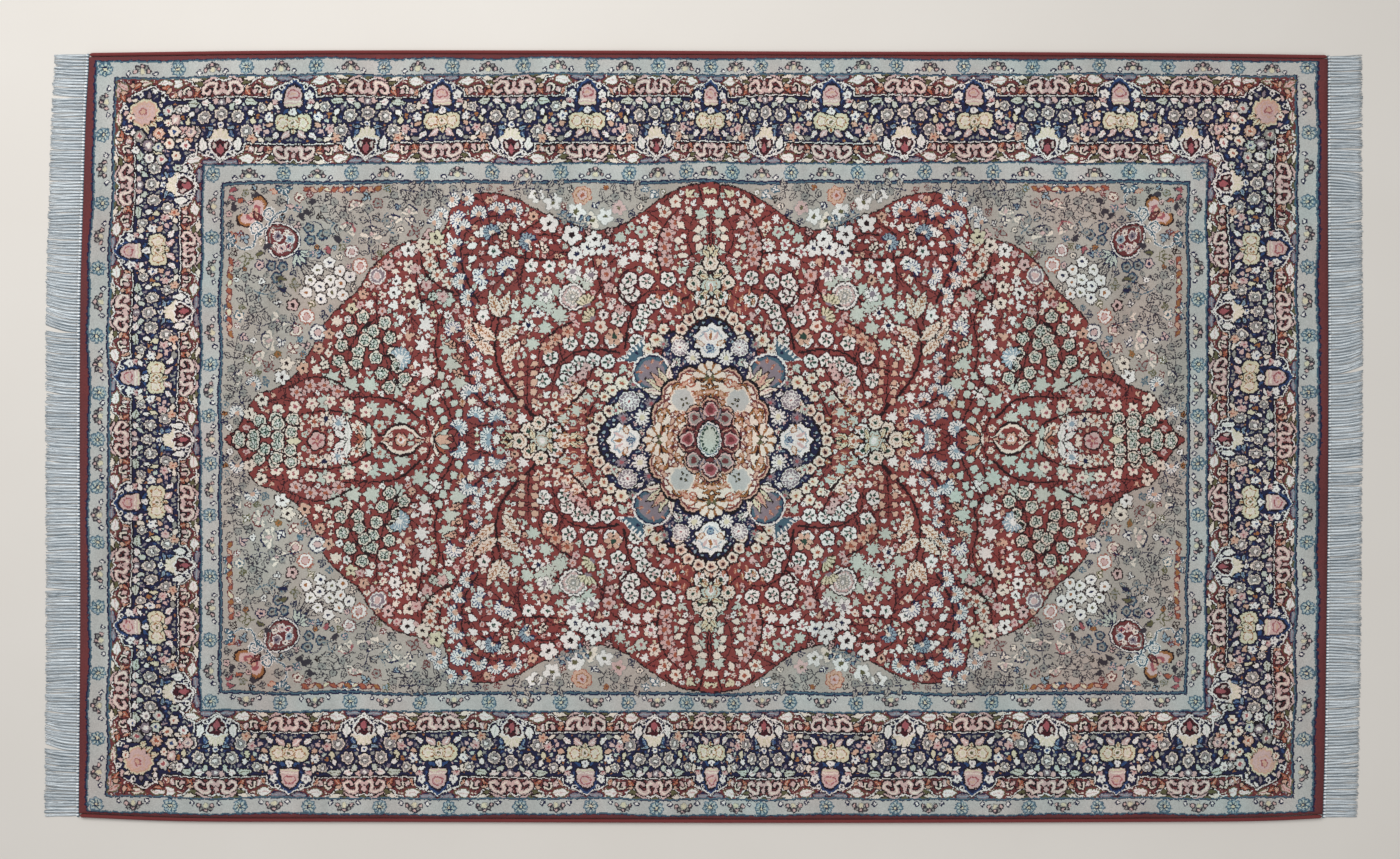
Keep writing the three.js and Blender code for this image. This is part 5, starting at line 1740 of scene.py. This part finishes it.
def fringe_threads(name, way, rng):
    """Middle lines of all threads, as (thread, station, xyz) in mm. A thread leaves its knot near the
    bundle's middle, spreads with the square root of the way along it, leans with its tuft, and sways with
    a sine of its own."""
    low = -side_of("south", way * WOVEN_LENGTH / 2) + FRINGE_INSET
    high = side_of("north", way * WOVEN_LENGTH / 2) - FRINGE_INSET
    count = int((high - low) / BUNDLE_STEP)
    roots = np.linspace(low, high, count) + rng.normal(0, 0.35, count)
    share = np.linspace(0, 1, THREAD_STATIONS)
    number = np.repeat(np.arange(count), THREADS_A_BUNDLE)
    total = len(number)
    seat = np.tile(np.arange(THREADS_A_BUNDLE), count) - (THREADS_A_BUNDLE - 1) / 2
    seat = seat / THREADS_A_BUNDLE * 2
    bundle_sway = rng.normal(0, 1.0, count)[number]
    phase = rng.uniform(0, 2 * np.pi, count)[number] + rng.normal(0, 0.5, total)
    length = (FRINGE_LENGTH - WEB_WIDTH) * (1 - np.abs(rng.normal(0, 0.045, total)))
    length = length * rng.uniform(0.96, 1, count)[number]
    out = WEB_WIDTH + length[:, None] * share
    drift = tip_sweep(name, roots, low, high)[number] * 0.9 + rng.normal(0, 1.0, total)
    drift = drift[:, None] * share**2
    spread = seat[:, None] * (2.0 + 0.9 * np.sqrt(share)) + (bundle_sway[:, None] * 1.1 * share)
    sway = 0.75 * np.sin(phase[:, None] + share * rng.uniform(3, 8, total)[:, None]) * share
    y = roots[number][:, None] + spread + drift + sway
    edge = side_of(name, roots)[number][:, None]
    x = way * (edge + out)
    lift = 2.2 * (1 - np.abs(seat))[:, None] * (1 - 0.6 * share)
    lift = 0.7 + lift * rng.uniform(0.6, 1.1, total)[:, None]
    z = lift + 0.35 * np.sin(phase[:, None] * 2 + share * 9)
    # How high a thread lies sets its painted shade: the lower, the darker.
    upper = np.clip((lift.mean(1) - 0.8) / 1.1, 0, 1)
    return np.stack([x + SHIFT, y, np.maximum(z, THREAD_RADIUS)], -1), roots, number, upper


def tubes_round(lines, radius, sides):
    """Thin tubes round middle lines that run mostly along X: each ring is a regular polygon across them."""
    angle = np.linspace(0, 2 * np.pi, sides, endpoint=False) + 0.5
    ring = np.stack([np.zeros(sides), np.cos(angle), np.sin(angle)], -1)
    points = lines[:, :, None] + ring * np.reshape(radius, (-1, lines.shape[1], 1, 1))
    return points.reshape(-1, 3)


def fringe(name, way, seed):
    """One mesh of the web, the knots and the threads of one end."""
    rng = np.random.default_rng(seed)
    lines, roots, number, upper = fringe_threads(name, way, rng)
    taper = THREAD_RADIUS * np.linspace(1, 0.8, THREAD_STATIONS)
    threads = tubes_round(lines, np.tile(taper, (len(lines), 1)), THREAD_SIDES)

    # A knot is a short fat tube that swells and closes again.
    swelling = np.array([0.35, 0.85, 1.0, 0.8, 0.3])
    at = np.array([0.6, 1.8, 3.8, 5.8, 7.4])
    edge = side_of(name, roots)[:, None]
    height = np.full((len(roots), len(at)), KNOT_HEIGHT)
    knot_lines = np.stack([way * (edge + at) + SHIFT, roots[:, None] + 0 * at, height], -1)
    knots = tubes_round(knot_lines, swelling * rng.uniform(1.9, 2.5, (len(roots), 1)), KNOT_SIDES)

    # The web is a low rounded strip with a rib for every pair of warps.
    end = way * WOVEN_LENGTH / 2
    along = np.arange(-side_of("south", end) + 1, side_of("north", end) - 1, RIB / 2)
    rib = 1 + 0.12 * np.cos(along / RIB * 2 * np.pi)
    profile = np.array([(0.4, 0.2), (0.4, 2.4), (2.6, 2.6), (4.6, 2.0), (5.0, 0.2)])
    web = np.stack([
        way * (side_of(name, along)[:, None] + profile[:, 0]) + SHIFT,
        along[:, None] + 0 * profile[:, 0],
        profile[:, 1] * np.where(profile[:, 1] > 1, rib[:, None], 1.0),
    ], -1).reshape(-1, 3)

    points = np.vstack([threads, knots, web])
    faces = []
    first = 0
    for count, stations, sides in ((len(lines), THREAD_STATIONS, THREAD_SIDES),
                                   (len(roots), len(at), KNOT_SIDES), (1, len(along), len(profile))):
        pattern = tube_faces(stations, sides)
        for k in range(count):
            begin = first + k * stations * sides
            faces += [[begin + corner for corner in face] for face in pattern]
        first += count * stations * sides
    # The lower threads are painted darker, as painted shade between the bundles and some dirt, so the upper
    # threads are the pale ones.
    own = 0.6 * upper + 0.2 * rng.random(len(lines)) + 0.2 * rng.random(len(roots))[number]
    of_knots = np.repeat(0.6 + 0.4 * rng.random(len(roots)), len(at) * KNOT_SIDES)
    # The web gets the darkest tone: painted shade between and under the knots.
    thread_tones_and_shade = np.concatenate([np.repeat(own, THREAD_STATIONS * THREAD_SIDES), of_knots, np.zeros(len(web))])
    piece = mesh_object("fringe_threads_" + name, (points / 1000).tolist(), faces)
    tone = piece.data.attributes.new("thread_tone_and_shade", "FLOAT", "POINT")
    tone.data.foreach_set("value", thread_tones_and_shade.astype(np.float32))
    return piece


fringes = [fringe("west", -1, 21), fringe("east", 1, 22)]
for piece in fringes:
    print(piece.name, "faces:", len(piece.data.polygons))

# %% Cotton warp
warp_cotton, tree, shader = new_material("undyed_cotton_warp")
object_place = put(tree, "TexCoord").outputs["Object"]
tone = put(tree, "Attribute", attribute_name="thread_tone_and_shade")
cotton = put(tree, "ValToRGB", {0: tone.outputs["Fac"]})
# The ramp's dark end is the painted shade, with some dirt, of the low threads and of the web.
cotton.color_ramp.elements[0].color = linear("4E6371")
cotton.color_ramp.elements[1].color = linear("F6FCFF")
twist = put(tree, "Mapping", {0: object_place, "Scale": (500.0, 1200.0, 1200.0), "Rotation": (0, 0, 0.5)})
ply = put(tree, "TexNoise", {"Vector": twist, "Scale": 1.0, "Detail": 2.0})
ply_tone = put(tree, "MapRange", {0: ply, 1: 0.3, 2: 0.7, 3: 0.82, 4: 1.08})
spun = put(tree, "VectorMath", {0: cotton, "Scale": ply_tone}, operation="SCALE")
bump = put(tree, "Bump", {"Height": ply, "Strength": 0.4, "Distance": 0.0003})
fill(shader, {"Base Color": spun, "Roughness": 0.85, "Specular IOR Level": 0.3, "Sheen Weight": 0.1,
              "Normal": bump})
for piece in fringes:
    piece.data.materials.append(warp_cotton)
print("cotton on", len(fringes), "fringes")

# %% [markdown]
# ## Riding on the rug's body
# Every piece rides on the rug's one body and stands for the plain solid that it dresses.

# %% Riding and replacing
for piece, node, slot in (
    (pile, "knotted_pile", "pile_wool"),
    (cords[0], "side_cord_north", "binding_wool"),
    (cords[1], "side_cord_south", "binding_wool"),
    (fringes[0], "fringe_west", "warp_cotton"),
    (fringes[1], "fringe_east", "warp_cotton"),
):
    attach(piece, "root")
    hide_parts(node)
